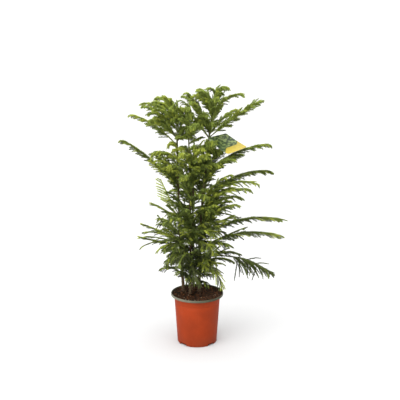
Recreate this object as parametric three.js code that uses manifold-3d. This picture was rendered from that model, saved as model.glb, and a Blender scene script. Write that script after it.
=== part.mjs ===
// Potted Norfolk Island pine: four slim stems in one nursery pot, whorled boughs, a care tag.
// Lengths in millimetres, angles in degrees, +Z up.
// The origin is the centre of the pot's flat underside, +X is to the right seen from the front,
// and the front looks along -Y.

import * as THREE from 'three';
import { mergeVertices } from 'three/addons/utils/BufferGeometryUtils.js';
import Module from 'manifold-3d';

const wasm = await Module();
wasm.setup();

// Clearance between pieces that meet, and between twigs of neighbouring masses.
const SEAT_GAP = 0.3;
const TWIG_GAP = 0.6;

const POT = {
  height: 185,
  baseRadius: 72,
  baseThickness: 12,
  bodyRadius: 83.5,
  rimRadius: 95,
  rimHeight: 8.5,
  wall: 2,
  segments: 36,
};
const NOTCH = { count: 4, firstAngle: 45, width: 30, height: 8, depth: 6 };
const SOIL_TOP = 172;

// Stems, straight from foot to tip but for a slight bow.
const STEM = { sides: 7, rings: 10, flare: 3.5, flareHeight: 10 };
const STEMS = {
  right: { foot: [8, 35], tip: [67, 5, 924], bow: [-16, -4], radius: [6, 1.8] },
  left: { foot: [-50, 35], tip: [-70, 15, 880], bow: [-6, -2], radius: [5.6, 1.8] },
  middle: { foot: [-25, 12], tip: [-32, -8, 850], bow: [4, -6], radius: [5.2, 1.8] },
  back: { foot: [-14, 62], tip: [-10, 40, 690], bow: [-4, 0], radius: [4.6, 1.6] },
};

// Boughs. height is where the bough leaves its stem, azimuth turns counter-clockwise from +X,
// rise is its slope at the stem and arch how far the slope has dropped at the tip.
// Most boughs bend late, near the tip; bend: 1 bends a bough evenly.
// A bough with a limb share is a bare limb over that share of its length.
// A bushy bough carries its sprays all round instead of in two rows.
const BEND_POWER = 1.7;
const BOUGHS = {
  right: [
    { height: 836, azimuth: 350, length: 130, rise: 50, arch: 60 },
    { height: 843, azimuth: 50, length: 115, rise: 70, arch: 70 },
    { height: 832, azimuth: 200, length: 102, rise: 68, arch: 70 },
    { height: 848, azimuth: 155, length: 100, rise: 78, arch: 75 },
    { height: 826, azimuth: 280, length: 110, rise: 60, arch: 65, bushy: true },
    { height: 746, azimuth: 355, length: 226, rise: 41, arch: 14 },
    { height: 760, azimuth: 150, length: 180, rise: 65, arch: 40 },
    { height: 746, azimuth: 250, length: 170, rise: 35, arch: 40, bushy: true },
    { height: 768, azimuth: 75, length: 180, rise: 45, arch: 50, bushy: true },
    { height: 614, azimuth: 350, length: 270, rise: 50, arch: 48, bend: 1 },
    { height: 598, azimuth: 310, length: 190, rise: 49, arch: 53 },
    { height: 614, azimuth: 60, length: 190, rise: 45, arch: 50, bushy: true },
    { height: 527, azimuth: 15, length: 298, rise: 49, arch: 62, bend: 1 },
    { height: 515, azimuth: 325, length: 265, rise: 52, arch: 62, bend: 1 },
    { height: 520, azimuth: 80, length: 210, rise: 38, arch: 50, bushy: true },
    { height: 398, azimuth: 320, length: 228, rise: 59, arch: 62 },
    { height: 440, azimuth: 25, length: 140, rise: 40, arch: 50, bushy: true },
    { height: 390, azimuth: 5, length: 330, rise: 34, arch: 51, bend: 1, limb: 0.2 },
    { height: 345, azimuth: 285, length: 190, rise: 30, arch: 60, bushy: true },
    { height: 339, azimuth: 345, length: 321, rise: 40, arch: 56, bend: 1, limb: 0.2 },
    { height: 306, azimuth: 350, length: 297, rise: 19, arch: 60, bend: 1, limb: 0.2 },
    { height: 278, azimuth: 300, length: 185, rise: 18, arch: 94 },
  ],
  left: [
    { height: 798, azimuth: 185, length: 145, rise: 51, arch: 60, bushy: true },
    { height: 806, azimuth: 140, length: 142, rise: 69, arch: 94, bushy: true },
    { height: 791, azimuth: 225, length: 130, rise: 50, arch: 60, bushy: true },
    { height: 721, azimuth: 175, length: 201, rise: 45, arch: 34 },
    { height: 736, azimuth: 40, length: 125, rise: 34, arch: 34, bushy: true },
    { height: 650, azimuth: 215, length: 135, rise: 53, arch: 94 },
    { height: 561, azimuth: 180, length: 276, rise: 52, arch: 28, limb: 0.2 },
    { height: 569, azimuth: 130, length: 190, rise: 60, arch: 54, bushy: true },
    { height: 482, azimuth: 165, length: 133, rise: 66, arch: 20 },
    { height: 473, azimuth: 200, length: 112, rise: 31, arch: 27 },
    { height: 384, azimuth: 185, length: 152, rise: 33, arch: 34 },
    { height: 375, azimuth: 215, length: 182, rise: 19, arch: 60, bushy: true },
    { height: 393, azimuth: 120, length: 180, rise: 30, arch: 40, bushy: true },
    { height: 330, azimuth: 235, length: 98, rise: 11, arch: 94 },
  ],
  middle: [
    { height: 800, azimuth: 230, length: 110, rise: 55, arch: 50, bushy: true },
    { height: 778, azimuth: 330, length: 100, rise: 55, arch: 50, bushy: true },
    { height: 650, azimuth: 260, length: 170, rise: 38, arch: 45, bushy: true },
    { height: 612, azimuth: 320, length: 150, rise: 40, arch: 45, bushy: true },
    { height: 565, azimuth: 262, length: 170, rise: 42, arch: 45, bushy: true },
    { height: 520, azimuth: 290, length: 180, rise: 32, arch: 45, bushy: true },
    { height: 440, azimuth: 240, length: 180, rise: 30, arch: 50, bushy: true },
    { height: 400, azimuth: 305, length: 170, rise: 28, arch: 50, bushy: true },
    { height: 325, azimuth: 255, length: 160, rise: 22, arch: 60, bushy: true },
    { height: 280, azimuth: 280, length: 130, rise: 12, arch: 50, bushy: true },
  ],
  back: [
    { height: 655, azimuth: 90, length: 150, rise: 55, arch: 60, bushy: true },
    { height: 495, azimuth: 110, length: 200, rise: 32, arch: 55, bushy: true },
    { height: 350, azimuth: 70, length: 210, rise: 25, arch: 60, bushy: true },
  ],
};
const LIMB = { sides: 5, steps: 4, rootRadius: 2.8 };
const TWIG = { sides: 3, step: 20, rootRadius: 2.2, tipRadius: 1.6, needleRadius: 8.5 };

// Sprays of needles, paired left and right along a bough and swept toward its tip.
// Their tilt follows the bough's height: held up at the top of the plant, hanging near the pot.
const SPRAY = {
  sides: 3,
  spacing: 22,
  fewest: 7,
  first: 0.06,
  last: 0.84,
  reach: 0.55,
  longest: 80,
  shortest: 22,
  sweep: 50,
  slimmest: 10,
  swelling: 0.06,
  teeth: [[0.3, 1], [0.37, 0.45], [0.7, 0.8]],
  fewTeeth: [[0.5, 1], [0.58, 0.5]],
  fewTeethBelow: 60,
  tries: [1, 0.75, 0.5],
};
const BUSHY = { count: 16, lowCount: 22, lowHeight: 350, turn: 137.5, sweep: 60, shortest: 34 };
const TILT = { lowHeight: 280, lowAngle: -25, highHeight: 800, highAngle: 25, hang: 28 };
const CROWN = { left: -285, right: 312, depth: 260, low: 120, aboveLeader: 4 };

const TAG = {
  length: 110,
  width: 90,
  thickness: 1,
  corner: 7,
  frontCorner: [104, -89, 703],
  lengthwise: [0.641, -0.681, -0.353],
  crosswise: [0.762, 0.619, 0.189],
  tailWidth: 9,
  tailFrom: 14,
  loopHeight: 670,
  loopWall: 1.4,
};

const COLOUR = {
  terracotta: 0xb4502c,
  compost: 0x3a2a20,
  bark: 0x4d3c2b,
  tag: 0x3f8a3a,
  needles: 0x47622f,
};

const radians = THREE.MathUtils.degToRad;
const lerp = THREE.MathUtils.lerp;
const vec = (x, y, z) => new THREE.Vector3(x, y, z);

function seededRandom(seed) {
  let state = seed;
  return () => {
    state = (state * 1664525 + 1013904223) % 4294967296;
    return state / 4294967296;
  };
}

function toSolid(geometry) {
  const bare = new THREE.BufferGeometry();
  bare.setAttribute('position', geometry.getAttribute('position'));
  bare.setIndex(geometry.index);
  const merged = mergeVertices(bare, 1e-4);
  return new wasm.Manifold(new wasm.Mesh({
    numProp: 3,
    vertProperties: Float32Array.from(merged.getAttribute('position').array),
    triVerts: Uint32Array.from(merged.index.array),
  }));
}

function toGeometry(solid) {
  const mesh = solid.getMesh();
  const geometry = new THREE.BufferGeometry();
  geometry.setAttribute('position', new THREE.BufferAttribute(mesh.vertProperties, 3));
  geometry.setIndex(new THREE.BufferAttribute(mesh.triVerts, 1));
  geometry.computeVertexNormals();
  return geometry;
}

// Closed skin through rings of equal point count; the first and last may be single points.
function loft(rings) {
  const starts = rings.map((_, i) => rings.slice(0, i).flat().length);
  const faces = [];
  for (let i = 0; i + 1 < rings.length; i += 1) {
    const near = starts[i];
    const far = starts[i + 1];
    const sides = Math.max(rings[i].length, rings[i + 1].length);
    for (let j = 0; j < sides; j += 1) {
      const next = (j + 1) % sides;
      if (rings[i].length > 1) {
        faces.push(near + j, near + next, far + (rings[i + 1].length > 1 ? next : 0));
      }
      if (rings[i + 1].length > 1) {
        faces.push(near + (rings[i].length > 1 ? j : 0), far + next, far + j);
      }
    }
  }
  const end = starts.at(-1);
  for (let j = 1; j + 1 < rings[0].length; j += 1) {
    faces.push(0, j + 1, j);
  }
  for (let j = 1; j + 1 < rings.at(-1).length; j += 1) {
    faces.push(end, end + j, end + j + 1);
  }
  const geometry = new THREE.BufferGeometry().setFromPoints(rings.flat());
  geometry.setIndex(faces);
  return geometry;
}

function ring(centre, across, up, radius, sides) {
  return Array.from({ length: sides }, (_, j) => {
    const angle = (2 * Math.PI * j) / sides;
    return centre.clone()
      .addScaledVector(across, radius * Math.cos(angle))
      .addScaledVector(up, radius * Math.sin(angle));
  });
}

// Room already taken by each piece, as round-ended bars.
const taken = [];

function take(node, from, to, radius) {
  taken.push({ node, line: new THREE.Line3(from, to), radius });
}

function isClear(node, from, to, radius) {
  const line = new THREE.Line3(from, to);
  return taken.every((bar) => {
    const reach = radius + bar.radius + TWIG_GAP;
    return bar.node === node || bar.line.distanceSqToLine3(line) > reach * reach;
  });
}

// Stems

function stemShare(stem, height) {
  return (height - SOIL_TOP) / (stem.tip[2] - SOIL_TOP);
}

function stemPoint(stem, height) {
  const share = stemShare(stem, height);
  const bow = 4 * share * (1 - share);
  return vec(
    lerp(stem.foot[0], stem.tip[0], share) + stem.bow[0] * bow,
    lerp(stem.foot[1], stem.tip[1], share) + stem.bow[1] * bow,
    height,
  );
}

function stemRadius(stem, height) {
  const flare = STEM.flare * Math.exp((SOIL_TOP - height) / STEM.flareHeight);
  return lerp(stem.radius[0], stem.radius[1], stemShare(stem, height)) + flare;
}

function stemRings(stem, growth) {
  const foot = SOIL_TOP + SEAT_GAP;
  return Array.from({ length: STEM.rings }, (_, i) => {
    const share = (i / (STEM.rings - 1)) ** 1.4;
    const height = lerp(foot, stem.tip[2], share);
    return ring(stemPoint(stem, height), vec(1, 0, 0), vec(0, 1, 0),
      stemRadius(stem, height) + growth, STEM.sides);
  });
}

// Boughs

function boughFrames(bough, from, to, steps) {
  const azimuth = radians(bough.azimuth);
  const side = vec(-Math.sin(azimuth), Math.cos(azimuth), 0);
  const point = stemPoint(STEMS[bough.stem], bough.height);
  const frames = [];
  const fine = 120;
  const stops = Array.from({ length: steps + 1 }, (_, i) => lerp(from, to, i / steps));
  for (let i = 0; i <= fine; i += 1) {
    const share = i / fine;
    const slope = radians(bough.rise - bough.arch * share ** (bough.bend ?? BEND_POWER));
    const along = vec(
      Math.cos(azimuth) * Math.cos(slope),
      Math.sin(azimuth) * Math.cos(slope),
      Math.sin(slope),
    );
    while (frames.length < stops.length && stops[frames.length] <= share + 1e-9) {
      const back = (stops[frames.length] - share) * bough.length;
      frames.push({
        point: point.clone().addScaledVector(along, back),
        along,
        side,
        up: along.clone().cross(side),
      });
    }
    point.addScaledVector(along, bough.length / fine);
  }
  return frames;
}

function tube(frames, rootRadius, tipRadius, sides) {
  return loft(frames.map((frame, i) => ring(frame.point, frame.side, frame.up,
    lerp(rootRadius, tipRadius, i / (frames.length - 1)), sides)));
}

// A bough's leafy twig: bare at its root, then clothed in needles up to its pointed tip.
function twigBrush(frames, rootRadius) {
  const last = frames.length - 1;
  const rings = frames.slice(0, last).map((frame, i) => {
    const share = i / last;
    const core = lerp(rootRadius, TWIG.tipRadius, share);
    const toothed = i > 1 && i % 2 === 0;
    const radius = toothed ? TWIG.needleRadius * (1 - 0.25 * share) : core;
    return ring(frame.point, frame.side, frame.up, radius, TWIG.sides);
  });
  rings.push([frames[last].point]);
  return loft(rings);
}

function takeFrames(node, frames, radius) {
  for (let i = 0; i + 1 < frames.length; i += 1) {
    take(node, frames[i].point, frames[i + 1].point, radius);
  }
}

// A spray: needles stand out from a slim core in rings of teeth that point toward its tip.
function sprayBrush(spray) {
  const up = spray.along.clone().cross(spray.across);
  const pointAt = (share) => spray.root.clone().addScaledVector(spray.along, share * spray.length);
  const teeth = spray.length < SPRAY.fewTeethBelow ? SPRAY.fewTeeth : SPRAY.teeth;
  const rings = teeth.map(([share, width]) => (
    ring(pointAt(share), spray.across, up, width * spray.radius, SPRAY.sides)
  ));
  return loft([[pointAt(0)], ...rings, [pointAt(1)]]);
}

// Direction round the bough in which its spray number i leaves, from the bough's side toward its top.
function sprayTurn(bough, i) {
  if (bough.bushy) {
    return BUSHY.turn * i;
  }
  const lift = THREE.MathUtils.mapLinear(bough.height, TILT.lowHeight, TILT.highHeight,
    TILT.lowAngle, TILT.highAngle);
  const tilt = i % 4 < 2 ? lift : lift - TILT.hang;
  return i % 2 === 0 ? tilt : 180 - tilt;
}

// Sprays offered by one bough, in order from its root, before any is skipped.
function offeredSprays(bough, random) {
  const start = bough.limb ?? 0;
  const leafy = bough.length * (1 - start);
  const bushyCount = bough.height < BUSHY.lowHeight ? BUSHY.lowCount : BUSHY.count;
  const count = bough.bushy ? bushyCount : Math.max(SPRAY.fewest, Math.round(leafy / SPRAY.spacing));
  const longest = Math.min(SPRAY.longest, SPRAY.reach * leafy);
  const shortest = bough.bushy ? BUSHY.shortest : SPRAY.shortest;
  const open = bough.bushy ? BUSHY.sweep : SPRAY.sweep;
  return Array.from({ length: count }, (_, i) => {
    const share = lerp(SPRAY.first, SPRAY.last, i / (count - 1));
    const at = lerp(start, 1, share);
    const frame = boughFrames(bough, at, at, 1)[0];
    const sweep = radians(open + 12 * (random() - 0.5) - 12 * share);
    const turn = radians(sprayTurn(bough, i) + 20 * (random() - 0.5));
    const along = frame.along.clone().multiplyScalar(Math.cos(sweep))
      .addScaledVector(frame.side, Math.sin(sweep) * Math.cos(turn))
      .addScaledVector(frame.up, Math.sin(sweep) * Math.sin(turn));
    const across = along.clone().cross(frame.along).normalize();
    const length = lerp(longest, shortest, share ** 0.8) * (0.85 + 0.3 * random());
    return { root: frame.point, along, across, length };
  });
}

function insideCrown(bough, point) {
  const outsidePot = Math.hypot(point.x, point.y) > POT.rimRadius + 8;
  const lowest = outsidePot ? CROWN.low : POT.height + 4;
  const highest = STEMS[bough.stem].tip[2] + CROWN.aboveLeader;
  return point.x > CROWN.left && point.x < CROWN.right && Math.abs(point.y) < CROWN.depth
    && point.z > lowest && point.z < highest;
}

// The longest form of a spray that fits, or none.
function fitSpray(node, bough, spray) {
  for (const share of SPRAY.tries) {
    const length = spray.length * share;
    const radius = SPRAY.slimmest + SPRAY.swelling * length;
    const tip = spray.root.clone().addScaledVector(spray.along, length);
    if (insideCrown(bough, tip) && isClear(node, spray.root, tip, radius)) {
      take(node, spray.root, tip, radius);
      return { ...spray, length, radius };
    }
  }
  return null;
}

// Assembly

const part = new THREE.Group();
part.name = 'potted_norfolk_pine';

function addNode(name, geometry, color, roughness) {
  const material = new THREE.MeshStandardMaterial({ color, roughness, metalness: 0 });
  material.flatShading = true;
  const mesh = new THREE.Mesh(geometry, material);
  mesh.name = name;
  part.add(mesh);
}

function makePot() {
  const ledge = POT.height - POT.rimHeight;
  const collar = POT.rimRadius - 2.5;
  const inner = POT.bodyRadius - POT.wall;
  const profile = [
    [0, 0],
    [POT.baseRadius - 1, 0],
    [POT.baseRadius, 1],
    [POT.bodyRadius, ledge],
    [POT.rimRadius - 0.8, ledge],
    [POT.rimRadius, ledge + 0.8],
    [POT.rimRadius, POT.height - 0.8],
    [POT.rimRadius - 0.8, POT.height],
    [collar, POT.height],
    [collar, ledge + 2],
    [inner, ledge + 2],
    [POT.baseRadius - POT.wall, POT.baseThickness],
    [0, POT.baseThickness],
  ].map(([x, y]) => new THREE.Vector2(x, y));
  let pot = toSolid(new THREE.LatheGeometry(profile, POT.segments).rotateX(Math.PI / 2));
  for (let i = 0; i < NOTCH.count; i += 1) {
    const block = new THREE.BoxGeometry(4 * NOTCH.depth, NOTCH.width, 2 * NOTCH.height);
    block.translate(POT.baseRadius + NOTCH.depth, 0, 0);
    block.rotateZ(radians(NOTCH.firstAngle + (360 / NOTCH.count) * i));
    pot = pot.subtract(toSolid(block));
  }
  return toGeometry(pot);
}

function makeSoil() {
  const rise = (POT.bodyRadius - POT.baseRadius) / (POT.height - POT.rimHeight);
  const inside = POT.baseRadius - POT.wall - 2 * SEAT_GAP;
  const wallAt = (height) => inside + rise * (height - POT.baseThickness);
  const floor = POT.baseThickness + SEAT_GAP;
  const profile = [
    [0, floor],
    [wallAt(floor), floor],
    [wallAt(SOIL_TOP), SOIL_TOP],
    [0, SOIL_TOP],
  ].map(([x, y]) => new THREE.Vector2(x, y));
  return toGeometry(toSolid(new THREE.LatheGeometry(profile, POT.segments).rotateX(Math.PI / 2)));
}

// Printed card lying on the boughs, with a tail that loops round the right stem.
function makeTag() {
  const lengthwise = vec(...TAG.lengthwise).normalize();
  const normal = lengthwise.clone().cross(vec(...TAG.crosswise)).normalize();
  const crosswise = normal.clone().cross(lengthwise);
  const corner = vec(...TAG.frontCorner);
  const shape = new THREE.Shape();
  const r = TAG.corner;
  shape.moveTo(-TAG.length + r, 0);
  shape.lineTo(-r, 0);
  shape.absarc(-r, r, r, -Math.PI / 2, 0);
  shape.absarc(-r, TAG.width - r, r, 0, Math.PI / 2);
  shape.absarc(-TAG.length + r, TAG.width - r, r, Math.PI / 2, Math.PI);
  shape.absarc(-TAG.length + r, r, r, Math.PI, 1.5 * Math.PI);
  const card = new THREE.ExtrudeGeometry(shape, {
    depth: TAG.thickness, bevelEnabled: false, curveSegments: 4,
  });
  card.applyMatrix4(new THREE.Matrix4().makeBasis(lengthwise, crosswise, normal).setPosition(corner));

  const stem = STEMS.right;
  const centre = stemPoint(stem, TAG.loopHeight);
  const inside = stemRadius(stem, TAG.loopHeight) + 4 * SEAT_GAP;
  const half = TAG.tailWidth / 2;
  const loopProfile = [
    [inside, -half],
    [inside + TAG.loopWall, -half],
    [inside + TAG.loopWall, half],
    [inside, half],
    [inside, -half],
  ].map(([x, y]) => new THREE.Vector2(x, y));
  const loop = new THREE.LatheGeometry(loopProfile, 14).rotateX(Math.PI / 2);
  loop.translate(centre.x, centre.y, centre.z);

  const root = corner.clone().addScaledVector(lengthwise, -TAG.tailFrom)
    .addScaledVector(crosswise, 4).addScaledVector(normal, TAG.thickness / 2);
  const toStem = centre.clone().sub(root).setZ(0).normalize();
  const end = centre.clone().addScaledVector(toStem, -inside - TAG.loopWall / 2);
  const middle = root.clone().lerp(end, 0.4).setZ(end.z);
  const curve = new THREE.QuadraticBezierCurve3(root, middle, end);
  const steps = 6;
  const rings = [];
  for (let i = 0; i <= steps; i += 1) {
    const share = i / steps;
    const along = curve.getTangent(share);
    const flat = lengthwise.clone().lerp(vec(0, 0, 1), share);
    flat.addScaledVector(along, -flat.dot(along)).normalize();
    const thick = along.clone().cross(flat);
    const point = curve.getPoint(share);
    rings.push([[1, 1], [-1, 1], [-1, -1], [1, -1]].map(([u, v]) => point.clone()
      .addScaledVector(flat, u * half * 0.9)
      .addScaledVector(thick, (v * TAG.thickness) / 2)));
    if (i > 0) {
      take('tag', curve.getPoint((i - 1) / steps), point, half);
    }
  }
  for (let i = 0; i <= 6; i += 1) {
    const from = corner.clone().addScaledVector(crosswise, (TAG.width * i) / 6);
    take('tag', from, from.clone().addScaledVector(lengthwise, -TAG.length), TAG.width / 12);
  }
  return toGeometry(toSolid(card).add(toSolid(loft(rings))).add(toSolid(loop)));
}

addNode('pot', makePot(), COLOUR.terracotta, 0.55);
addNode('soil', makeSoil(), COLOUR.compost, 0.95);

const grownStems = {};
for (const [name, stem] of Object.entries(STEMS)) {
  const rings = stemRings(stem, 0);
  addNode(`stem_${name}`, toGeometry(toSolid(loft(rings))), COLOUR.bark, 0.85);
  grownStems[name] = toSolid(loft(stemRings(stem, SEAT_GAP)));
  for (let height = SOIL_TOP; height < stem.tip[2]; height += 25) {
    const above = Math.min(height + 25, stem.tip[2]);
    take(`stem_${name}`, stemPoint(stem, height), stemPoint(stem, above), stemRadius(stem, height));
  }
}

addNode('tag', makeTag(), COLOUR.tag, 0.4);

const rimMiddle = POT.height - POT.rimHeight / 2;
for (let i = 0; i < 24; i += 1) {
  const [from, to] = [i, i + 1].map((k) => {
    const angle = (2 * Math.PI * k) / 24;
    return vec(POT.rimRadius * Math.cos(angle), POT.rimRadius * Math.sin(angle), rimMiddle);
  });
  take('pot', from, to, POT.rimHeight);
}

const boughs = Object.entries(BOUGHS).flatMap(([stem, rows]) => (
  rows.map((row, i) => ({ ...row, stem, name: `${stem}_${i + 1}` }))
));
const masses = boughs.map((bough, i) => {
  const node = `foliage_${bough.name}`;
  const random = seededRandom(101 + 37 * i);
  const limbEnd = bough.limb ?? 0;
  const from = limbEnd + (limbEnd > 0 ? SEAT_GAP / bough.length : 0);
  const steps = Math.round((bough.length * (1 - from)) / TWIG.step);
  const frames = boughFrames(bough, from, 1, steps);
  const grownStem = grownStems[bough.stem];
  const thickest = 0.8 * stemRadius(STEMS[bough.stem], bough.height);
  const twigRadius = Math.min(TWIG.rootRadius, thickest);
  let solid = toSolid(twigBrush(frames, twigRadius));
  if (limbEnd > 0) {
    const limbFrames = boughFrames(bough, 0, limbEnd, LIMB.steps);
    const limbRadius = Math.min(LIMB.rootRadius, thickest);
    const limb = toSolid(tube(limbFrames, limbRadius, twigRadius, LIMB.sides));
    addNode(`bough_${bough.name}`, toGeometry(limb.subtract(grownStem)), COLOUR.bark, 0.8);
    takeFrames(`bough_${bough.name}`, limbFrames.slice(1), LIMB.rootRadius);
  } else {
    solid = solid.subtract(grownStem);
  }
  takeFrames(node, frames.slice(1), TWIG.needleRadius);
  return { node, bough, solid, sprays: offeredSprays(bough, random) };
});

// Sprays are dealt out one to each mass in turn; one that would touch a neighbour is skipped.
const mostSprays = Math.max(...masses.map((mass) => mass.sprays.length));
for (let turn = 0; turn < mostSprays; turn += 1) {
  for (const mass of masses.filter((each) => turn < each.sprays.length)) {
    const spray = fitSpray(mass.node, mass.bough, mass.sprays[turn]);
    if (spray) {
      mass.solid = mass.solid.add(toSolid(sprayBrush(spray)));
    }
  }
}

for (const mass of masses) {
  addNode(mass.node, toGeometry(mass.solid), COLOUR.needles, 0.7);
}

export default part;
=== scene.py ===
# Potted Norfolk Island pine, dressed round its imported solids.
# Lengths are millimetres and angles degrees up to the point where a mesh is made. Finishes and the
# studio are in metres.
# The frame is the solids' own: origin at the centre of the pot's underside, +Z up,
# +X to the right seen from the front, and the front looks along -Y.

import math

import bmesh
import bpy
import numpy as np
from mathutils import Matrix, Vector, noise


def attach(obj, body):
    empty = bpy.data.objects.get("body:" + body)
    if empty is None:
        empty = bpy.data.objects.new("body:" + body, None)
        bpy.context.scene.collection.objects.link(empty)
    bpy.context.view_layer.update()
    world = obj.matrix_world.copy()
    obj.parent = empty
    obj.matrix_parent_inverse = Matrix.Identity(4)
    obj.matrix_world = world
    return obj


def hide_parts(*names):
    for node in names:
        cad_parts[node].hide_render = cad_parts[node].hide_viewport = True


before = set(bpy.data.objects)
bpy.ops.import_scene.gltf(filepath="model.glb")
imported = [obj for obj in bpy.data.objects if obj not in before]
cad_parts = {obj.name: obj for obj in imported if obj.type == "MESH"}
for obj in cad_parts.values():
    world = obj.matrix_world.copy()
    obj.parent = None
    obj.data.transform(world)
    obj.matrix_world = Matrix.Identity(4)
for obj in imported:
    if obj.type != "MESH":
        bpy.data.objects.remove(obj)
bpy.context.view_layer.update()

MM = 0.001
UPWARD = np.array([0.0, 0.0, 1.0])
RIGHTWARD = np.array([1.0, 0.0, 0.0])
GOLDEN_TURN = 137.5
STEEP = 0.8
PIECE_TRIANGLES = 195000
SEED = {"mates": 3001, "bough": 101, "bough_step": 37, "stem_needles": 7001, "chips": 515}

POT = {
    "height": 185,
    "base_radius": 72,
    "base_thickness": 12,
    "body_radius": 83.5,
    "rim_radius": 95,
    "rim_height": 8.5,
    "groove": 152,
    "groove_depth": 0.6,
    "collar": 2.5,
    "wall": 2,
    "underside_ring": 45,
    "floor_ring": 20,
    "rings_below_groove": (20, 45, 75, 105, 135),
    "rings_above_groove": (162, 170),
    "inner_ring": 120,
    "sway": 0.35,
    "sway_width": 70,
    "sway_from": 60,
    "sway_radius": 90,
}
NOTCH = {
    "count": 4,
    "first_angle": 45,
    "width": 30,
    "height": 8,
    "back": 66,
    "columns": 13,
    "columns_between": 34,
}
SOIL_TOP = 172
# The lumps are (width, height), and the skirt (radius, height) round and down inside the pot.
COMPOST = {
    "reach": 91.3,
    "raised": 1,
    "lumps": ((24, 2.0), (8, 1.3), (3, 0.6)),
    "rim_heap": 7.5,
    "stem_heap": 3.0,
    "stem_heap_reach": 14,
    "below_rim": 1.5,
    "edge_from": 80,
    "edge_height": 179.3,
    "skirt": [(91.2, 178.9), (82.3, 178.9), (80.6, 177.4), (78.2, 150)],
    "rings": 50,
    "turns": 160,
    "first_ring": 0.012,
}
# The tilt is in radians. Size and roughness are a least share and what is added at most.
CHIP = {
    "spread": 88,
    "raised": 0.5,
    "form": np.array([0.5, 0.3, 0.16]),
    "tilt": 1.2,
    "size": (0.4, 0.6),
    "roughness": (0.7, 0.6),
}
CHIP_CORNERS = np.array(
    [[1, 0, 0], [0, 1, 0], [-1, 0, 0], [0, -1, 0], [0, 0, 1], [0, 0, -1]], dtype=float
)
CHIP_FACES = np.array(
    [[0, 1, 4], [1, 2, 4], [2, 3, 4], [3, 0, 4], [1, 0, 5], [2, 1, 5], [3, 2, 5], [0, 3, 5]]
)

STEM_FLARE = 3.5
STEM_FLARE_HEIGHT = 10
STEMS = {
    "right": {"foot": (8, 35), "tip": (67, 5, 924), "bow": (-16, -4), "radius": (6, 1.8)},
    "left": {"foot": (-50, 35), "tip": (-70, 15, 880), "bow": (-6, -2), "radius": (5.6, 1.8)},
    "middle": {"foot": (-25, 12), "tip": (-32, -8, 850), "bow": (4, -6), "radius": (5.2, 1.8)},
    "back": {"foot": (-14, 62), "tip": (-10, 40, 690), "bow": (-4, 0), "radius": (4.6, 1.6)},
}
STEM_BARK = {
    "below_soil": 1.5,
    "ring_step": 2.2,
    "sides": 18,
    "knuckle": 0.7,
    "knuckle_length": 5,
    "tip_radius": 0.4,
}
LIMB = {
    "root_radius": 2.8,
    "of_stem": 0.8,
    "rings": 40,
    "overrun": 0.01,
    "sides": 14,
    "relief": 0.6,
    "first_seed": 11,
}
TWIG = {"root_radius": 2.2, "tip_radius": 0.6, "rings": 26, "sides": 6}
# Widths and heights of the bark's flaky plates, its crumbs and its spiral leaf scars.
BARK = {
    "plate": 3.2,
    "plate_stretch": 0.45,
    "plate_height": 0.35,
    "crumb": 1.4,
    "crumb_height": 0.16,
    "scar_step": 2.3,
    "scar_reach": 4,
    "scar_height": 0.45,
    "scar_length": 1.5,
    "scar_width": 1.3,
    "full_radius": 3,
    "seed_step": 50,
}

BOUGH_STEPS = 121
LATE_BEND = 1.7
HOOK_FROM = 0.9


def bough(height, azimuth, length, rise, arch, bushy=False, limb=0.0, **habit):
    """One bough: where it leaves its stem, its heading, slope and arch, and the share of it that is
    a bare limb. Its habit gives its share of fresh sprays and its mates: how many shorter boughs
    stand beside it in the whorl, how far they spread round, up and down the stem, and how much
    lower and steeper they stand. A habit may also set any of the values that otherwise go by
    height."""
    usual = {
        "bend": LATE_BEND,
        "fewest": 14,
        "first": 0.05,
        "fresh": 0.12,
        "mates": 3 if bushy else 1,
        "mate_length": 165,
        "aside": (18, 75),
        "stagger": 26,
        "lower": 0,
        "steeper": 0,
    }
    return {
        "height": height,
        "azimuth": azimuth,
        "length": length,
        "rise": rise,
        "arch": arch,
        "limb": limb,
        **usual,
        **habit,
    }


# Habits of single boughs: a slim rope, a loose hanging fan, a comb of pale sprays on one side, a
# slender straight tail, a thin wisp, a full feather, a bare twig, a shaded inner bough and a small
# bright tuft.
ROPE = {
    "spacing": 4.2,
    "longest": 40,
    "shortest": 27,
    "tilt": -14,
    "scatter": 80,
    "sweep": 22,
    "closing": 7,
    "hanging": 0.4,
    "hang": 50,
    "splay": 12,
    "shrink": 0.85,
    "droop": 0.12,
    "needle": 8.8,
    "opening": 44,
    "shade": 1.0,
}
FAN = {
    "spacing": 3.6,
    "longest": 92,
    "shortest": 20,
    "tilt": -14,
    "scatter": 130,
    "sweep": 18,
    "closing": 4,
    "stray": 70,
    "hanging": 0.5,
    "hang": 80,
    "splay": 36,
    "shrink": 1.05,
    "droop": 0.3,
    "needle": 7.4,
    "opening": 38,
    "hook": -15,
    "shade": 1.0,
}
HERRINGBONE = {
    "fewest": 9,
    "spacing": 15,
    "longest": 66,
    "shortest": 32,
    "tilt": -90,
    "scatter": 16,
    "sweep": 36,
    "closing": 4,
    "hanging": 0,
    "needle": 9.5,
    "opening": 32,
}
SLENDER = {
    "spacing": 6,
    "longest": 34,
    "shortest": 24,
    "sweep": 16,
    "closing": 6,
    "hanging": 0.25,
    "needle": 6.6,
    "opening": 38,
    "hook": 0,
}
WISP = {
    "spacing": 9,
    "longest": 34,
    "shortest": 20,
    "sweep": 16,
    "needle": 5,
    "opening": 34,
    "hanging": 0.2,
}
FEATHER = {
    "first": 0.14,
    "spacing": 2.8,
    "longest": 38,
    "tilt": 10,
    "scatter": 150,
    "sweep": 34,
    "shade": 0.6,
    "needle": 9.4,
}
BARE = {
    "fewest": 4,
    "spacing": 60,
    "longest": 6,
    "shortest": 4,
    "needle": 2.2,
    "opening": 15,
    "hook": 0,
    "fresh": 0,
}
INNER = {"fresh": 0, "shade": 1.3}
TUFT = {"fresh": 2.5, "hanging": 0}

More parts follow.
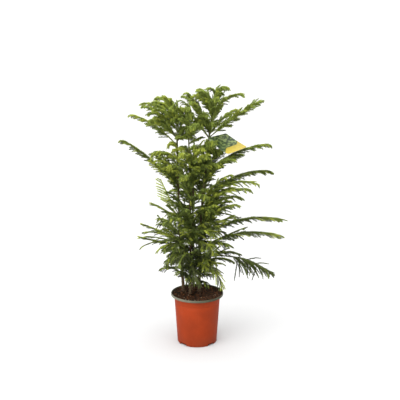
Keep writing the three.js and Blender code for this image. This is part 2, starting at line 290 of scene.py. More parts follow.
# The boughs that the solids have, stem by stem.
BOUGHS = {
    "right": [
        bough(836, 350, 130, 52, 59, mates=0, hook=25),
        bough(843, 50, 115, 70, 70, mates=0, hook=30),
        bough(832, 200, 102, 68, 70, mates=1, aside=(5, 20), lower=15, hook=30, fresh=0.45),
        bough(848, 155, 95, 78, 75, mates=0, hook=45, fresh=0.3),
        bough(826, 280, 110, 60, 65, bushy=True, shade=0.6, mates=4, steeper=15, hook=30),
        bough(749, 355, 228, 41, 14, mates=0, hook=35, **FEATHER),
        bough(760, 150, 180, 65, 40, shade=0.6),
        bough(
            746, 250, 170, 35, 40, bushy=True, shade=0.6, mates=2, stagger=30, lower=-20,
            steeper=30, first=0.45,
        ),
        bough(768, 75, 180, 45, 50, bushy=True, shade=0.6),
        bough(614, 350, 270, 49, 45, bend=1, **ROPE),
        bough(598, 310, 190, 49, 53, fresh=0.25, mates=3, stagger=60, steeper=10),
        bough(614, 60, 190, 45, 50, bushy=True, mates=2, aside=(18, 45)),
        bough(523, 15, 298, 48, 58, bend=1, mates=0, **{**ROPE, "tilt": -38, "needle": 9}),
        bough(
            515, 325, 265, 52, 62, bend=1, fresh=0.4, mates=3, mate_length=200, aside=(6, 28),
            stagger=40, lower=30,
        ),
        bough(520, 80, 210, 38, 50, bushy=True, aside=(18, 50)),
        bough(398, 320, 228, 59, 62, fresh=0.28, shade=0.8, mates=6, stagger=110),
        bough(440, 25, 140, 40, 50, bushy=True, mates=5, stagger=90),
        bough(390, 5, 331, 33, 48, limb=0.2, bend=1, mates=0, hook=4, **{**ROPE, "needle": 9}),
        bough(345, 285, 190, 30, 60, mates=1, aside=(18, 30)),
        bough(339, 345, 321, 39.3, 53, limb=0.2, bend=1, fresh=0.25, mates=0, hook=2, **ROPE),
        bough(304, 350, 288, 18, 57, limb=0.2, first=0.28, bend=1, fresh=0, mates=0, **FAN),
        bough(
            278, 300, 185, 18, 94, fresh=0.5, mates=4, mate_length=100, aside=(10, 25), stagger=60,
            lower=25, steeper=30,
        ),
    ],
    "left": [
        bough(798, 185, 150, 51, 60, bushy=True, fresh=0.35, hook=25),
        bough(806, 140, 142, 69, 94, bushy=True, fresh=0.3, hook=20),
        bough(791, 225, 130, 50, 60, bushy=True, fresh=0.22, mates=4, hook=30),
        bough(
            721, 175, 206, 45, 34, fresh=0.35, first=0.2, tilt=-6, longest=44, mates=3,
            mate_length=125, aside=(10, 45), lower=-22, steeper=6,
        ),
        bough(736, 40, 125, 34, 34, bushy=True, steeper=15),
        bough(650, 215, 135, 53, 94, fresh=0.8, mates=4, aside=(10, 45), stagger=60, lower=25),
        bough(561, 180, 276, 52, 28, limb=0.2, fresh=0.35, **ROPE),
        bough(569, 130, 190, 60, 54, bushy=True, mates=2),
        bough(467, 165, 145, 58, -10, first=0.22, pale=True, mates=0, hook=0, **HERRINGBONE),
        bough(
            452, 200, 122, 36, 8, mates=1, lower=-14, aside=(18, 30),
            **{**SLENDER, "longest": 46, "needle": 7.4},
        ),
        bough(372, 185, 154, 28, 8, fresh=0.2, mates=0, **SLENDER),
        bough(373, 195, 152, 6, 34, fresh=0.15, mates=0, **WISP),
        bough(393, 120, 180, 22, 40, bushy=True, mate_length=100, stagger=60),
        bough(
            330, 235, 98, 11, 94, fresh=0.05, shade=0.9, mates=8, stagger=110, lower=60,
            steeper=44,
        ),
    ],
    "middle": [
        bough(800, 230, 110, 55, 50, bushy=True, mates=5, stagger=60),
        bough(778, 330, 100, 55, 50, bushy=True, mates=5, stagger=40, lower=18),
        bough(
            650, 260, 170, 38, 45, bushy=True, fresh=0.4, mates=3, stagger=60, lower=15,
            steeper=12,
        ),
        bough(612, 320, 150, 40, 45, bushy=True, fresh=0.25, mates=2, stagger=80, steeper=32),
        bough(565, 262, 170, 42, 45, bushy=True, fresh=0.3, mates=2, stagger=80, steeper=32),
        bough(520, 290, 180, 32, 45, bushy=True, shade=0.7, mates=3, stagger=80, steeper=32),
        bough(
            440, 240, 180, 30, 50, bushy=True, fresh=0.06, shade=0.9, mates=4, aside=(12, 32),
            stagger=80, steeper=24,
        ),
        bough(
            400, 305, 170, 28, 50, bushy=True, fresh=0.25, shade=0.9, mates=4, stagger=80,
            steeper=24,
        ),
        bough(
            325, 255, 160, 22, 60, bushy=True, fresh=0.05, shade=0.95, mates=9, stagger=100,
            steeper=32,
        ),
        bough(
            280, 280, 130, 12, 50, bushy=True, fresh=0.06, shade=0.95, mates=11, stagger=90,
            lower=20, steeper=42,
        ),
    ],
    "back": [
        bough(655, 90, 150, 55, 60, bushy=True, mates=4, stagger=60),
        bough(495, 110, 200, 32, 55, bushy=True, mates=5, aside=(5, 26), stagger=80),
        bough(350, 70, 210, 25, 60, bushy=True, mates=6, mate_length=130, stagger=80),
    ],
}
# Smaller boughs seen between the main ones.
SMALLER = {
    "right": [
        bough(838, 175, 94, 88, 101, hook=25, fresh=0.3),
        bough(868, 320, 90, 85, 109, hook=25),
        bough(886, 200, 44, 92, 92, hook=25),
        bough(487, 320, 250, 44, 54, fresh=0.3),
        bough(463, 330, 194, 50, 63),
        bough(444, 340, 140, 36, 66, **WISP),
        bough(330, 345, 200, 37, 16, **{**SLENDER, "needle": 5.4}),
        bough(327, 335, 142, 43, 73, fresh=0, **SLENDER),
        bough(289, 350, 161, 36, 59, fresh=0, **{**SLENDER, "spacing": 4, "longest": 44}),
        bough(
            286, 340, 135, 28, 54, fresh=0,
            **{**SLENDER, "spacing": 4, "longest": 46, "needle": 7.6},
        ),
        bough(256, 330, 117, 43, 59, **WISP),
        bough(283, 350, 100, 42, -7, first=0.5, **WISP),
        bough(289, 350, 120, 31, 3, first=0.5, **WISP),
        bough(236, 315, 66, 30, 40, fresh=0.3),
        bough(216, 300, 55, 15, 30, fresh=0.3),
        bough(694, 310, 78, 22, 40),
        bough(676, 330, 48, 56, 40),
        bough(684, 15, 42, 50, 40),
        bough(644, 284, 80, 50, 50),
        bough(690, 281, 88, 46, 40),
        bough(684, 283, 115, 50, 45),
        bough(680, 287, 120, 48, 40),
        bough(690, 278, 100, 52, 50),
        bough(700, 275, 70, 40, 50),
        bough(676, 284, 100, 50, 40),
        bough(694, 270, 80, 55, 50),
        bough(690, 245, 62, 50, 50),
        bough(704, 305, 46, 8, 30),
        bough(679, 230, 70, 50, 50),
        bough(772, 215, 70, 60, 50),
        bough(766, 285, 64, 55, 50),
        bough(780, 180, 60, 70, 60),
    ],
    "left": [
        bough(772, 195, 154, 49, 33, fresh=0.2),
        bough(742, 345, 55, 25, 20),
        bough(492, 0, 52, 20, 30),
        bough(711, 215, 40, 44, 58, **TUFT),
        bough(695, 250, 38, 40, 60, **TUFT),
        bough(716, 170, 30, 55, 60, **TUFT),
        bough(700, 300, 42, 40, 60, **TUFT),
        bough(742, 350, 48, 14, 10, hanging=0),
        bough(390, 200, 112, 38, -16, **SLENDER),
        bough(364, 190, 147, 35, 47, **SLENDER),
        bough(355, 190, 155, 12, -6, **SLENDER),
        bough(360, 195, 140, 22, 18, **WISP),
        bough(350, 230, 90, 20, 50),
        bough(335, 250, 80, 10, 60),
        bough(360, 260, 90, 20, 50),
        bough(320, 225, 80, 0, 60),
        bough(362, 290, 90, 28, 30),
        bough(361, 215, 107, 9, 44, fresh=0.8, **WISP),
        bough(271, 200, 80, 5, 7, **WISP),
        bough(252, 295, 48, 10, 40),
    ],
    "middle": [
        bough(811, 180, 90, 103, 110, hook=25),
        bough(692, 0, 66, 45, 0, **BARE),
        bough(494, 12, 62, 20, 30),
        bough(470, 320, 110, 40, 50),
        bough(366, 315, 70, 25, 30),
        bough(700, 300, 60, 45, 50),
        bough(744, 170, 40, 20, 10, hanging=0),
        bough(728, 8, 46, 34, 10, hook=0),
        bough(770, 340, 70, 60, 60),
        bough(244, 258, 50, 10, 50),
        bough(238, 305, 60, 10, 60),
    ],
    "back": [
        bough(575, 75, 150, 42, 50),
        bough(420, 50, 165, 30, 50),
        bough(405, 130, 165, 30, 50),
        bough(305, 105, 150, 15, 60),
        bough(285, 150, 130, 12, 60),
        bough(268, 55, 130, 10, 60),
        bough(480, 215, 80, 35, 40, **INNER),
        bough(462, 330, 80, 35, 40, **INNER),
        bough(440, 190, 85, 30, 40, **INNER),
        bough(425, 350, 80, 30, 40, **INNER),
        bough(408, 230, 75, 25, 40, **INNER),
        bough(392, 300, 75, 25, 40, **INNER),
        bough(372, 200, 85, 20, 45, **INNER),
        bough(356, 340, 80, 20, 45, **INNER),
        bough(338, 240, 75, 15, 45, **INNER),
        bough(320, 300, 75, 15, 50, **INNER),
        bough(300, 205, 80, 10, 50, **INNER),
        bough(286, 335, 75, 10, 50, **INNER),
        bough(465, 225, 75, 25, 35, **INNER),
        bough(450, 250, 60, 25, 35, **INNER),
        bough(430, 215, 75, 20, 35, **INNER),
        bough(415, 330, 70, 20, 35, **INNER),
        bough(398, 270, 60, 15, 35, **INNER),
        bough(380, 225, 75, 15, 40, **INNER),
        bough(362, 300, 65, 12, 40, **INNER),
        bough(345, 225, 75, 10, 40, **INNER),
    ],
}
SMALLER_FIRST_NUMBER = 1000

# Sprays follow the solids' rule at a closer spacing, on alternate sides of the bough. Low boughs
# carry long, flat, open sprays, high boughs short, dense ones that stand all round, and boughs at
# heights between go from one to the other.
SPRAY = {
    "last": 0.97,
    "reach": 0.42,
    "rings": 4,
    "sides": 3,
    "root_radius": 0.9,
    "tip_radius": 0.4,
    "tries": (1, 0.75, 0.5),
    "least_length": 0.8,
    "length_range": 0.4,
    "inner_length": 0.55,
    "inner_gain": 4,
    "outer_end": 1.08,
    "outer_fade": 0.25,
    "droop_range": 0.2,
}
LOW_HEIGHT, HIGH_HEIGHT = 290, 760
# Values on a low bough and on a high one.
BY_HEIGHT = {
    "spacing": (7.5, 4.0),
    "longest": (80, 37),
    "shortest": (24, 23),
    "tilt": (0, 16),
    "scatter": (24, 80),
    "sweep": (34, 29),
    "closing": (14, 11),
    "stray": (14, 14),
    "hanging": (0.35, 0.35),
    "hang": (48, 60),
    "splay": (6, 6),
    "shrink": (1.0, 0.85),
    "droop": (0.2, 0.15),
    "needle": (6.8, 7.5),
    "opening": (40, 45),
    "hook": (12, 55),
    "shade": (0.62, 0.36),
}
WHORL = {
    "share": (0.55, 0.95),
    "tilt": 24,
    "flatter": 0.75,
    "shortest": 24,
    "first_number": 100,
    "number_step": 8,
}
CROWN = {
    "left": -285,
    "right": 312,
    "depth": 260,
    "low": 120,
    "above_leader": 20,
    "past_rim": 8,
    "over_rim": 4,
}
# Spacing of the points that stand for stems and limbs where sprays keep off them.
WOOD = {"short_of_tip": 30, "step": 8.0, "limb_from": 0.04, "limb_points": 12}
# Room that sprays and needles leave round the wood, the tag and the pot's rim.
SPRAY_CLEARANCE = {"wood": 3.0, "beside_tag": 6, "over_tag": 8}
NEEDLE_CLEARANCE = {
    "beside_tag": 1,
    "over_tag": 1.5,
    "over_rim": 1,
    "rim_middle": 89,
    "rim_half_width": 8,
}

NEEDLE = {
    "half_width": 1.6,
    "half_thickness": 0.75,
    "per_mm": 0.89,
    "fewest": 4,
    "crowding": 0.85,
    "turn_range": 30,
    "closing": 0.5,
    "angle_range": 16,
    "least_length": 0.8,
    "length_range": 0.4,
    "inner_length": 0.55,
    "inner_gain": 3,
    "tip_loss": 0.4,
    "sunk": 0.5,
}
NEEDLE_FACES = np.array([[0, 2, 1], [0, 1, 3], [1, 2, 3], [2, 0, 3]])
# On the bough itself the needles stand closer and longer than on its sprays.
BOUGH_NEEDLES = {"closer": 1.3, "longer": 1.1, "tone_at": 0.8}

# Needle tones. Deep and bright are the leaf tone painted in shade and in light. Dusk and grey are
# deep and leaf, greyer for older growth near the pot and darker there as painted shade.
TONES = {
    "deep": (0.084, 0.115, 0.021),
    "leaf": (0.183, 0.234, 0.040),
    "bright": (0.234, 0.300, 0.054),
    "fresh": (0.345, 0.398, 0.055),
    "pale": (0.400, 0.465, 0.100),
    "grey": (0.108, 0.128, 0.044),
    "dusk": (0.043, 0.054, 0.016),
    "straw": (0.44, 0.45, 0.19),
}
# Heights and shares that deal the tones out to sprays.
TONE_DEAL = {
    "low_below": 430,
    "high_above": 560,
    "over": 200,
    "outer_light": 0.72,
    "hanging_shade": 0.4,
    "bright": 0.7,
    "grey": 0.85,
    "fresh_root": 0.35,
    "fresh_gain": 0.9,
}
# Needles on the stems themselves: from height, to height, needles to the millimetre, tone.
# The deep and dusk tones there are painted shade inside the crown and near the pot.
STEM_NEEDLES = {
    "right": [(176, 250, 0.9, "straw"), (420, 800, 0.4, "deep"), (800, 923, 1.6, "leaf")],
    "left": [(176, 300, 1.2, "dusk"), (400, 760, 0.4, "deep"), (760, 879, 1.6, "leaf")],
    "middle": [(178, 270, 1.7, "straw"), (400, 740, 0.4, "deep"), (740, 849, 1.6, "leaf")],
    "back": [(176, 330, 1.4, "dusk"), (380, 600, 0.4, "deep"), (600, 689, 1.6, "leaf")],
}
STEM_NEEDLE = {"rings": 24, "length": 7.5, "opening": 40}

# The card's bow lifts its ends and sides, and its curl lifts one far corner.
TAG = {
    "length": 110,
    "width": 90,
    "thickness": 1,
    "corner": 7,
    "front_corner": np.array([104.0, -89.0, 703.0]),
    "lengthwise": np.array([0.641, -0.681, -0.353]),
    "crosswise": np.array([0.762, 0.619, 0.189]),
    "end_bow": 2.2,
    "side_bow": 1.0,
    "sunk": 1.2,
    "curl": 9,
    "skin": 0.1,
    "corner_rows": 8,
    "straight_rows": 20,
    "columns": 34,
    "tail_width": 9,
    "tail_from": 14,
    "tail_inset": 4,
    "tail_rings": 40,
    "tail_slimmer": 0.6,
    "tail_half_thickness": 0.45,
    "tail_bend": 0.4,
    "loop_height": 670,
    "loop_clearance": 1.2,
    "loop_wall": 1.4,
    "loop_turns": 48,
}
BAND_OUTLINE = [
    (1, 0.5), (0.9, 1), (-0.9, 1), (-1, 0.5), (-1, -0.5), (-0.9, -1), (0.9, -1), (1, -0.5)
]

CAMERA = {"sensor": 36, "lens": 62.28, "place": (0.0104, -2.4, 1.042), "tip": 77.92}
FLOOR = {"half": 30, "sunk": 0.0004, "dull": (0.464,) * 3, "light": (0.474,) * 3}
WORLD_LIGHT = 1.15
# Lamps: name, direction they shine from, strength and spread.
LAMPS = [("top", (0.0, -0.1, 2.0), 3.15, 80), ("side", (-1.2, -1.5, 0.8), 3.0, 70)]


def unit(vectors):
    return vectors / np.linalg.norm(vectors, axis=-1, keepdims=True)


def lerp(start, end, share):
    return start + (end - start) * share


def round_turns(count):
    return np.arange(count) * 2 * math.pi / count


def jitter(chance, shape):
    """Even draws from -0.5 to 0.5."""
    return chance.random(shape) - 0.5


def uneven(chance, shape, least, extra):
    """Even draws from least to least + extra."""
    return least + extra * chance.random(shape)


def smooth_noise(points, scale):
    """Smooth noise from -1 to 1 at each point, with features about scale millimetres wide."""
    return np.array([noise.noise(Vector(point)) for point in np.asarray(points) / scale])


# Finishes


class Reading:
    """One socket of a finish. Arithmetic on it adds Math nodes."""

    def __init__(self, finish, socket):
        self.finish = finish
        self.socket = socket

    def maths(self, operation, first, second):
        return self.finish.node("ShaderNodeMath", {"operation": operation}, {0: first, 1: second})

    def __add__(self, other):
        return self.maths("ADD", self, other)

    __radd__ = __add__

    def __sub__(self, other):
        return self.maths("SUBTRACT", self, other)

    def __rsub__(self, other):
        return self.maths("SUBTRACT", other, self)

    def __mul__(self, other):
        return self.maths("MULTIPLY", self, other)

    __rmul__ = __mul__


class Finish:
    """A procedural material. Constants go on the shader's own sockets."""

    def __init__(self, name, **constants):
        self.material = bpy.data.materials.new(name)
        self.material.use_nodes = True
        self.tree = self.material.node_tree
        self.shader = self.tree.nodes["Principled BSDF"]
        for socket, value in constants.items():
            self.shader.inputs[socket.replace("_", " ")].default_value = value
        self.place = self.node("ShaderNodeTexCoord", output="Object")

    def node(self, kind, settings=None, sockets=None, output=0):
        """Any node, from its type, its settings, and the values or links of its sockets."""
        made = self.tree.nodes.new(kind)
        for name, value in (settings or {}).items():
            setattr(made, name, value)
        for key, value in (sockets or {}).items():
            if isinstance(value, Reading):
                self.tree.links.new(value.socket, made.inputs[key])
            else:
                made.inputs[key].default_value = value
        return Reading(self, made.outputs[output])

    def paint(self, **sockets):
        """Links readings to the shader."""
        for socket, reading in sockets.items():
            self.tree.links.new(reading.socket, self.shader.inputs[socket.replace("_", " ")])

    def vectors(self, operation, first, second=None, output=0):
        sockets = {0: first} if second is None else {0: first, 1: second}
        return self.node("ShaderNodeVectorMath", {"operation": operation}, sockets, output)

    def grain(self, scale, detail=3.0, stretch=(1, 1, 1)):
        """Cloudy noise from 0 to 1, scale features to the metre."""
        place = self.vectors("MULTIPLY", self.place, stretch)
        sockets = {"Vector": place, "Scale": scale, "Detail": detail}
        return self.node("ShaderNodeTexNoise", None, sockets)

    def ease(self, value, start, end):
        """0 below start, 1 above end, and smooth between."""
        settings = {"interpolation_type": "SMOOTHSTEP"}
        sockets = {"Value": value, "From Min": start, "From Max": end}
        return self.node("ShaderNodeMapRange", settings, sockets)

    def blend(self, share, first, second):
        """From one colour to another."""
        settings = {"data_type": "RGBA"}
        sockets = {0: share, 6: opaque(first), 7: opaque(second)}
        return self.node("ShaderNodeMix", settings, sockets, output=2)

    def relief(self, height, strength, depth):
        """A bump of that depth in metres, as the shader's normal."""
        sockets = {"Height": height, "Strength": strength, "Distance": depth}
        self.paint(Normal=self.node("ShaderNodeBump", None, sockets))

    def axis(self, name):
        return self.node("ShaderNodeSeparateXYZ", None, {0: self.place}, output=name)

    def along(self, origin, direction):
        """Distance from origin along a direction, in metres."""
        offset = self.vectors("SUBTRACT", self.place, origin)
        return self.vectors("DOT_PRODUCT", offset, direction, "Value")


def opaque(colour):
    """A plain colour with its alpha, or a reading as it is."""
    return colour if isinstance(colour, Reading) else (*colour, 1.0)


def shade(colour, factor):
    return tuple(channel * factor for channel in colour)


def terracotta_finish():
    finish = Finish("terracotta_plastic", Specular_IOR_Level=0.12)
    orange, scuffed = (0.243, 0.0282, 0.0045), (0.36, 0.06, 0.018)
    muddy, shadowed = (0.15, 0.03, 0.012), (0.04, 0.012, 0.006)
    cloud = finish.grain(14, 4)
    streak = finish.grain(60, 3, (1, 1, 0.12))
    mottle = finish.ease(cloud, 0.3, 0.7)
    colour = finish.blend(mottle, shade(orange, 0.86), shade(orange, 1.08))
    scuff = finish.ease(streak, 0.58, 0.75) * 0.22
    colour = finish.blend(scuff, colour, scuffed)
    # Painted shade: the body darkens toward the floor.
    lower = (1 - finish.ease(finish.axis("Z"), 0.0, 0.14)) * 0.3
    colour = finish.blend(lower, colour, shade(orange, 0.5))
    foot = 1 - finish.ease(finish.axis("Z"), 0.004, 0.05)
    colour = finish.blend(foot * finish.ease(cloud, 0.35, 0.65) * 0.45, colour, muddy)
    # Painted shade in the notches round the foot.
    level = finish.vectors("MULTIPLY", finish.place, (1, 1, 0))
    reach = finish.vectors("LENGTH", level, output="Value")
    recess = 1 - finish.ease(reach, 0.0665, 0.0705)
    colour = finish.blend(recess * 0.8, colour, shadowed)
    finish.paint(Base_Color=colour, Roughness=0.5 + 0.2 * cloud)
    finish.relief(finish.grain(1400, 2) + 2 * streak, 0.25, 0.0002)
    return finish


def rim_finish():
    finish = Finish("rim_grey_green", Specular_IOR_Level=0.2)
    dark, light = (0.032, 0.034, 0.018), (0.074, 0.073, 0.043)
    painted_light_colour, dirt = (0.19, 0.182, 0.138), (0.05, 0.03, 0.018)
    cloud = finish.grain(45, 4)
    colour = finish.blend(finish.ease(cloud, 0.35, 0.7), dark, light)
    # Painted light: the rim turns a lighter grey toward its left side, where the side lamp shines
    # from.
    painted_light_left = (1 - finish.ease(finish.axis("X"), -0.1, 0.07)) * 0.65
    colour = finish.blend(painted_light_left, colour, painted_light_colour)
    speck = finish.ease(finish.grain(420, 2), 0.62, 0.72)
    colour = finish.blend(speck * 0.5, colour, dirt)
    finish.paint(Base_Color=colour, Roughness=0.4 + 0.25 * cloud)
    finish.relief(finish.grain(900, 2), 0.2, 0.0002)
    return finish


def compost_finish(name, dark, light):
    finish = Finish(name, Specular_IOR_Level=0.06)
    crumb = finish.grain(260, 5)
    cloud = finish.grain(50, 2)
    colour = finish.blend(finish.ease(crumb * 0.6 + cloud * 0.4, 0.36, 0.64), dark, light)
    finish.paint(Base_Color=colour, Roughness=0.78 + 0.2 * crumb)
    finish.relief(crumb, 0.8, 0.0012)
    return finish


def bark_finish():
    finish = Finish("stem_bark", Specular_IOR_Level=0.2)
    crevice, ridge, weathered = (0.024, 0.015, 0.008), (0.092, 0.056, 0.027), (0.125, 0.105, 0.066)
    young_dark, young_light = (0.05, 0.06, 0.014), (0.11, 0.12, 0.03)
    flake = finish.grain(420, 4, (1, 1, 0.3))
    cloud = finish.grain(38, 3, (1, 1, 0.5))
    brown = finish.blend(finish.ease(flake, 0.35, 0.68), crevice, ridge)
    brown = finish.blend(finish.ease(cloud, 0.55, 0.75) * 0.6, brown, weathered)
    green = finish.blend(flake, young_dark, young_light)
    upward = finish.ease(finish.axis("Z") + 0.25 * cloud, 0.62, 0.98)
    colour = finish.blend(upward, brown, green)
    finish.paint(Base_Color=colour, Roughness=0.62 + 0.3 * flake)
    finish.relief(flake, 0.7, 0.0008)
    return finish


def twig_finish():
    finish = Finish("green_twig", Specular_IOR_Level=0.3)
    dark, light = (0.055, 0.055, 0.016), (0.10, 0.11, 0.03)
    cloud = finish.grain(90, 3)
    colour = finish.blend(finish.ease(cloud, 0.35, 0.65), dark, light)
    finish.paint(Base_Color=colour, Roughness=0.5 + 0.25 * cloud)
    finish.relief(finish.grain(700, 2), 0.4, 0.0004)
    return finish


def needle_finish(tone, colour):
    finish = Finish("needles_" + tone, Specular_IOR_Level=0.13)
    cloud = finish.grain(70, 3)
    tint = finish.blend(finish.ease(cloud, 0.3, 0.7), shade(colour, 0.78), shade(colour, 1.25))
    finish.paint(Base_Color=tint, Roughness=0.45 + 0.2 * cloud)
    return finish


def tag_print_finish():
    """A leafy green field with a curved yellow band along the card's front end."""
    finish = Finish("tag_print", Specular_IOR_Level=0.25)
    leaf_dark, leaf_light = (0.016, 0.036, 0.008), (0.170, 0.220, 0.070)
    leaf_shadow = (0.015, 0.04, 0.014)
    amber, yellow, ochre = (0.345, 0.265, 0.024), (0.41, 0.325, 0.047), (0.25, 0.17, 0.02)
    corner = tuple(TAG["front_corner"] * MM)
    run = finish.along(corner, tuple(TAG_AXES[0]))
    width = finish.along(corner, tuple(TAG_AXES[1]))
    leafy = finish.ease(finish.grain(100, 5), 0.45, 0.57)
    green = finish.blend(leafy, leaf_dark, leaf_light)
    shadow = finish.ease(run, -0.075, -0.035) * (1 - finish.ease(width, 0.015, 0.05))
    green = finish.blend(shadow * 0.5, green, leaf_shadow)
    first_curve = 0.023 * finish.ease(width, -0.005, 0.028)
    edge = -0.012 - first_curve - 0.016 * finish.ease(width, 0.072, 0.092)
    band = finish.ease(run - edge, -0.0006, 0.0006)
    warm = finish.blend(finish.ease(run, -0.04, 0.0), amber, yellow)
    warm = finish.blend(finish.ease(finish.grain(160, 3), 0.52, 0.66) * 0.55, warm, ochre)
    colour = finish.blend(band, green, warm)
    finish.paint(Base_Color=colour, Roughness=0.3 + 0.15 * finish.grain(60, 2))
    finish.relief(finish.grain(300, 2), 0.05, 0.0002)
    return finish


def tag_white_finish():
    finish = Finish("tag_white", Specular_IOR_Level=0.45)
    cloud = finish.grain(40, 3)
    colour = finish.blend(cloud, (0.24, 0.24, 0.225), (0.34, 0.34, 0.325))
    finish.paint(Base_Color=colour, Roughness=0.35 + 0.2 * cloud)
    finish.relief(finish.grain(300, 2), 0.05, 0.0002)
    return finish


# Meshes


def add_piece(name, points, triangles, finishes, finish_of=None, crease=None):
    """A piece of the part from points in millimetres and triangles."""
    triangles = np.asarray(triangles, dtype=np.int32)
    mesh = bpy.data.meshes.new(name)
    mesh.vertices.add(len(points))
    mesh.vertices.foreach_set("co", (np.asarray(points) * MM).astype(np.float32).ravel())
    mesh.loops.add(triangles.size)
    mesh.loops.foreach_set("vertex_index", triangles.ravel())
    mesh.polygons.add(len(triangles))
    mesh.polygons.foreach_set("loop_start", np.arange(0, triangles.size, 3, dtype=np.int32))
    mesh.polygons.foreach_set("use_smooth", np.ones(len(triangles), dtype=bool))
    for finish in finishes:
        mesh.materials.append(finish.material)
    if finish_of is not None:
        mesh.polygons.foreach_set("material_index", np.asarray(finish_of, dtype=np.int32))
    mesh.update(calc_edges=True)
    if crease is not None:
        weld = bmesh.new()
        weld.from_mesh(mesh)
        bmesh.ops.remove_doubles(weld, verts=weld.verts, dist=1e-6)
        bmesh.ops.dissolve_degenerate(weld, edges=weld.edges, dist=1e-7)
        weld.to_mesh(mesh)
        weld.free()
        mesh.set_sharp_from_angle(angle=math.radians(crease))
    piece = bpy.data.objects.new(name, mesh)
    bpy.context.scene.collection.objects.link(piece)
    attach(piece, "root")
    return piece


def join(parts):
    """Joins (points, triangles) parts into one pair of arrays."""
    points = np.concatenate([part[0] for part in parts])
    starts = np.cumsum([0] + [len(part[0]) for part in parts[:-1]])
    triangles = np.concatenate([part[1] + start for part, start in zip(parts, starts)])
    return points, triangles


def repeat(faces, count, corners):
    """The same faces for each of count solids of that many corners."""
    return (faces[None] + (np.arange(count) * corners)[:, None, None]).reshape(-1, 3)


def grid_triangles(rows, columns, closed):
    """Triangles over a grid of points, joined round in the second direction where it is closed."""
    inner = np.arange(columns - (not closed))
    row, column = np.meshgrid(np.arange(rows - 1), inner, indexing="ij")
    following = (column + 1) % columns
    near, far = row * columns, (row + 1) * columns
    corners = [near + column, near + following, far + following, far + column]
    first = np.stack([corners[0], corners[1], corners[2]], axis=-1)
    second = np.stack([corners[0], corners[2], corners[3]], axis=-1)
    return np.concatenate([first.reshape(-1, 3), second.reshape(-1, 3)])


def tube_triangles(rings, sides):
    """Triangles of a closed tube with flat ends."""
    turn = np.arange(1, sides - 1)
    foot = np.stack([np.zeros_like(turn), turn + 1, turn], axis=1)
    tip = np.stack([np.zeros_like(turn), turn, turn + 1], axis=1) + (rings - 1) * sides
    return np.concatenate([grid_triangles(rings, sides, True), foot, tip])


def fan(apex, ring, turned=False):
    """Triangles from one point to a closed ring of points."""
    following = np.roll(ring, -1)
    pair = [following, ring] if turned else [ring, following]
    return np.stack([np.full(len(ring), apex), *pair], axis=1)


def bars(paths, radii, sides, relief=0.0):
    """Closed round bars along paths of shape (bars, rings, 3)."""
    count, rings = paths.shape[:2]
    heading = unit(np.gradient(paths, axis=1))
    across, over = cross_axes(heading, heading[:, :1, 2:])
    angle = round_turns(sides)
    reach = (radii[:, :, None] + relief)[..., None]
    outward = across[:, :, None] * np.cos(angle)[:, None]
    outward = outward + over[:, :, None] * np.sin(angle)[:, None]
    points = paths[:, :, None] + reach * outward
    triangles = repeat(tube_triangles(rings, sides), count, rings * sides)
    return points.reshape(-1, 3), triangles


def cross_axes(heading, climb):
    """Two directions across a heading, taken from the side where it climbs steeply."""
    reference = np.where(np.abs(climb) < STEEP, UPWARD, RIGHTWARD)
    across = unit(np.cross(heading, reference))
    return across, np.cross(heading, across)


# Stems and boughs


def stem_share(stem, height):
    return (height - SOIL_TOP) / (stem["tip"][2] - SOIL_TOP)


def stem_point(stem, height):
    """A point on a stem's axis. The bow is greatest half way up."""
    height = np.asarray(height, dtype=float)
    share = stem_share(stem, height)
    bow = 4 * share * (1 - share)
    x = lerp(stem["foot"][0], stem["tip"][0], share) + stem["bow"][0] * bow
    y = lerp(stem["foot"][1], stem["tip"][1], share) + stem["bow"][1] * bow
    return np.stack([x, y, height], axis=-1)


def stem_radius(stem, height):
    flare = STEM_FLARE * np.exp((SOIL_TOP - height) / STEM_FLARE_HEIGHT)
    return lerp(stem["radius"][0], stem["radius"][1], stem_share(stem, height)) + flare


def by_height(row, name):
    """A value of the bough's own habit, or one between the low boughs' and the high boughs'."""
    if name in row:
        return row[name]
    share = (row["height"] - LOW_HEIGHT) / (HIGH_HEIGHT - LOW_HEIGHT)
    return lerp(*BY_HEIGHT[name], np.clip(share, 0, 1))


def bough_frames(row, shares):
    """Points on a bough's axis at shares of its length, with its heading, side and upper
    direction there."""
    azimuth = math.radians(row["azimuth"])
    level = np.array([math.cos(azimuth), math.sin(azimuth), 0.0])
    side = np.array([-math.sin(azimuth), math.cos(azimuth), 0.0])

    def heading(share):
        hook = by_height(row, "hook") * np.clip((share - HOOK_FROM) / (1 - HOOK_FROM), 0, 1)
        slope = np.radians(row["rise"] - row["arch"] * share ** row["bend"] - hook)
        return np.cos(slope)[:, None] * level + np.sin(slope)[:, None] * UPWARD

    fine = np.linspace(0, 1, BOUGH_STEPS)
    strides = heading(fine[:-1]) * row["length"] / (len(fine) - 1)
    walked = np.vstack([np.zeros(3), np.cumsum(strides, axis=0)])
    path = stem_point(STEMS[row["stem"]], row["height"]) + walked
    points = np.stack([np.interp(shares, fine, path[:, k]) for k in range(3)], axis=1)
    along = heading(shares)
    sides = np.broadcast_to(side, along.shape)
    return points, along, sides, np.cross(along, sides)


def main_rows():
    """The boughs that the solids have, stem by stem."""
    rows = []
    for stem_name, stem_rows in BOUGHS.items():
        for place, row in enumerate(stem_rows):
            name = f"{stem_name}_{place + 1}"
            rows.append({**row, "stem": stem_name, "name": name, "number": len(rows)})
    return rows


def finer_rows(rows):
    """The boughs' mates, and the smaller boughs between."""
    finer = [mate for row in rows for mate in whorl_mates(row)]
    for stem_name, stem_rows in SMALLER.items():
        for row in stem_rows:
            number = SMALLER_FIRST_NUMBER + len(finer)
            finer.append({**row, "stem": stem_name, "number": number})
    return finer


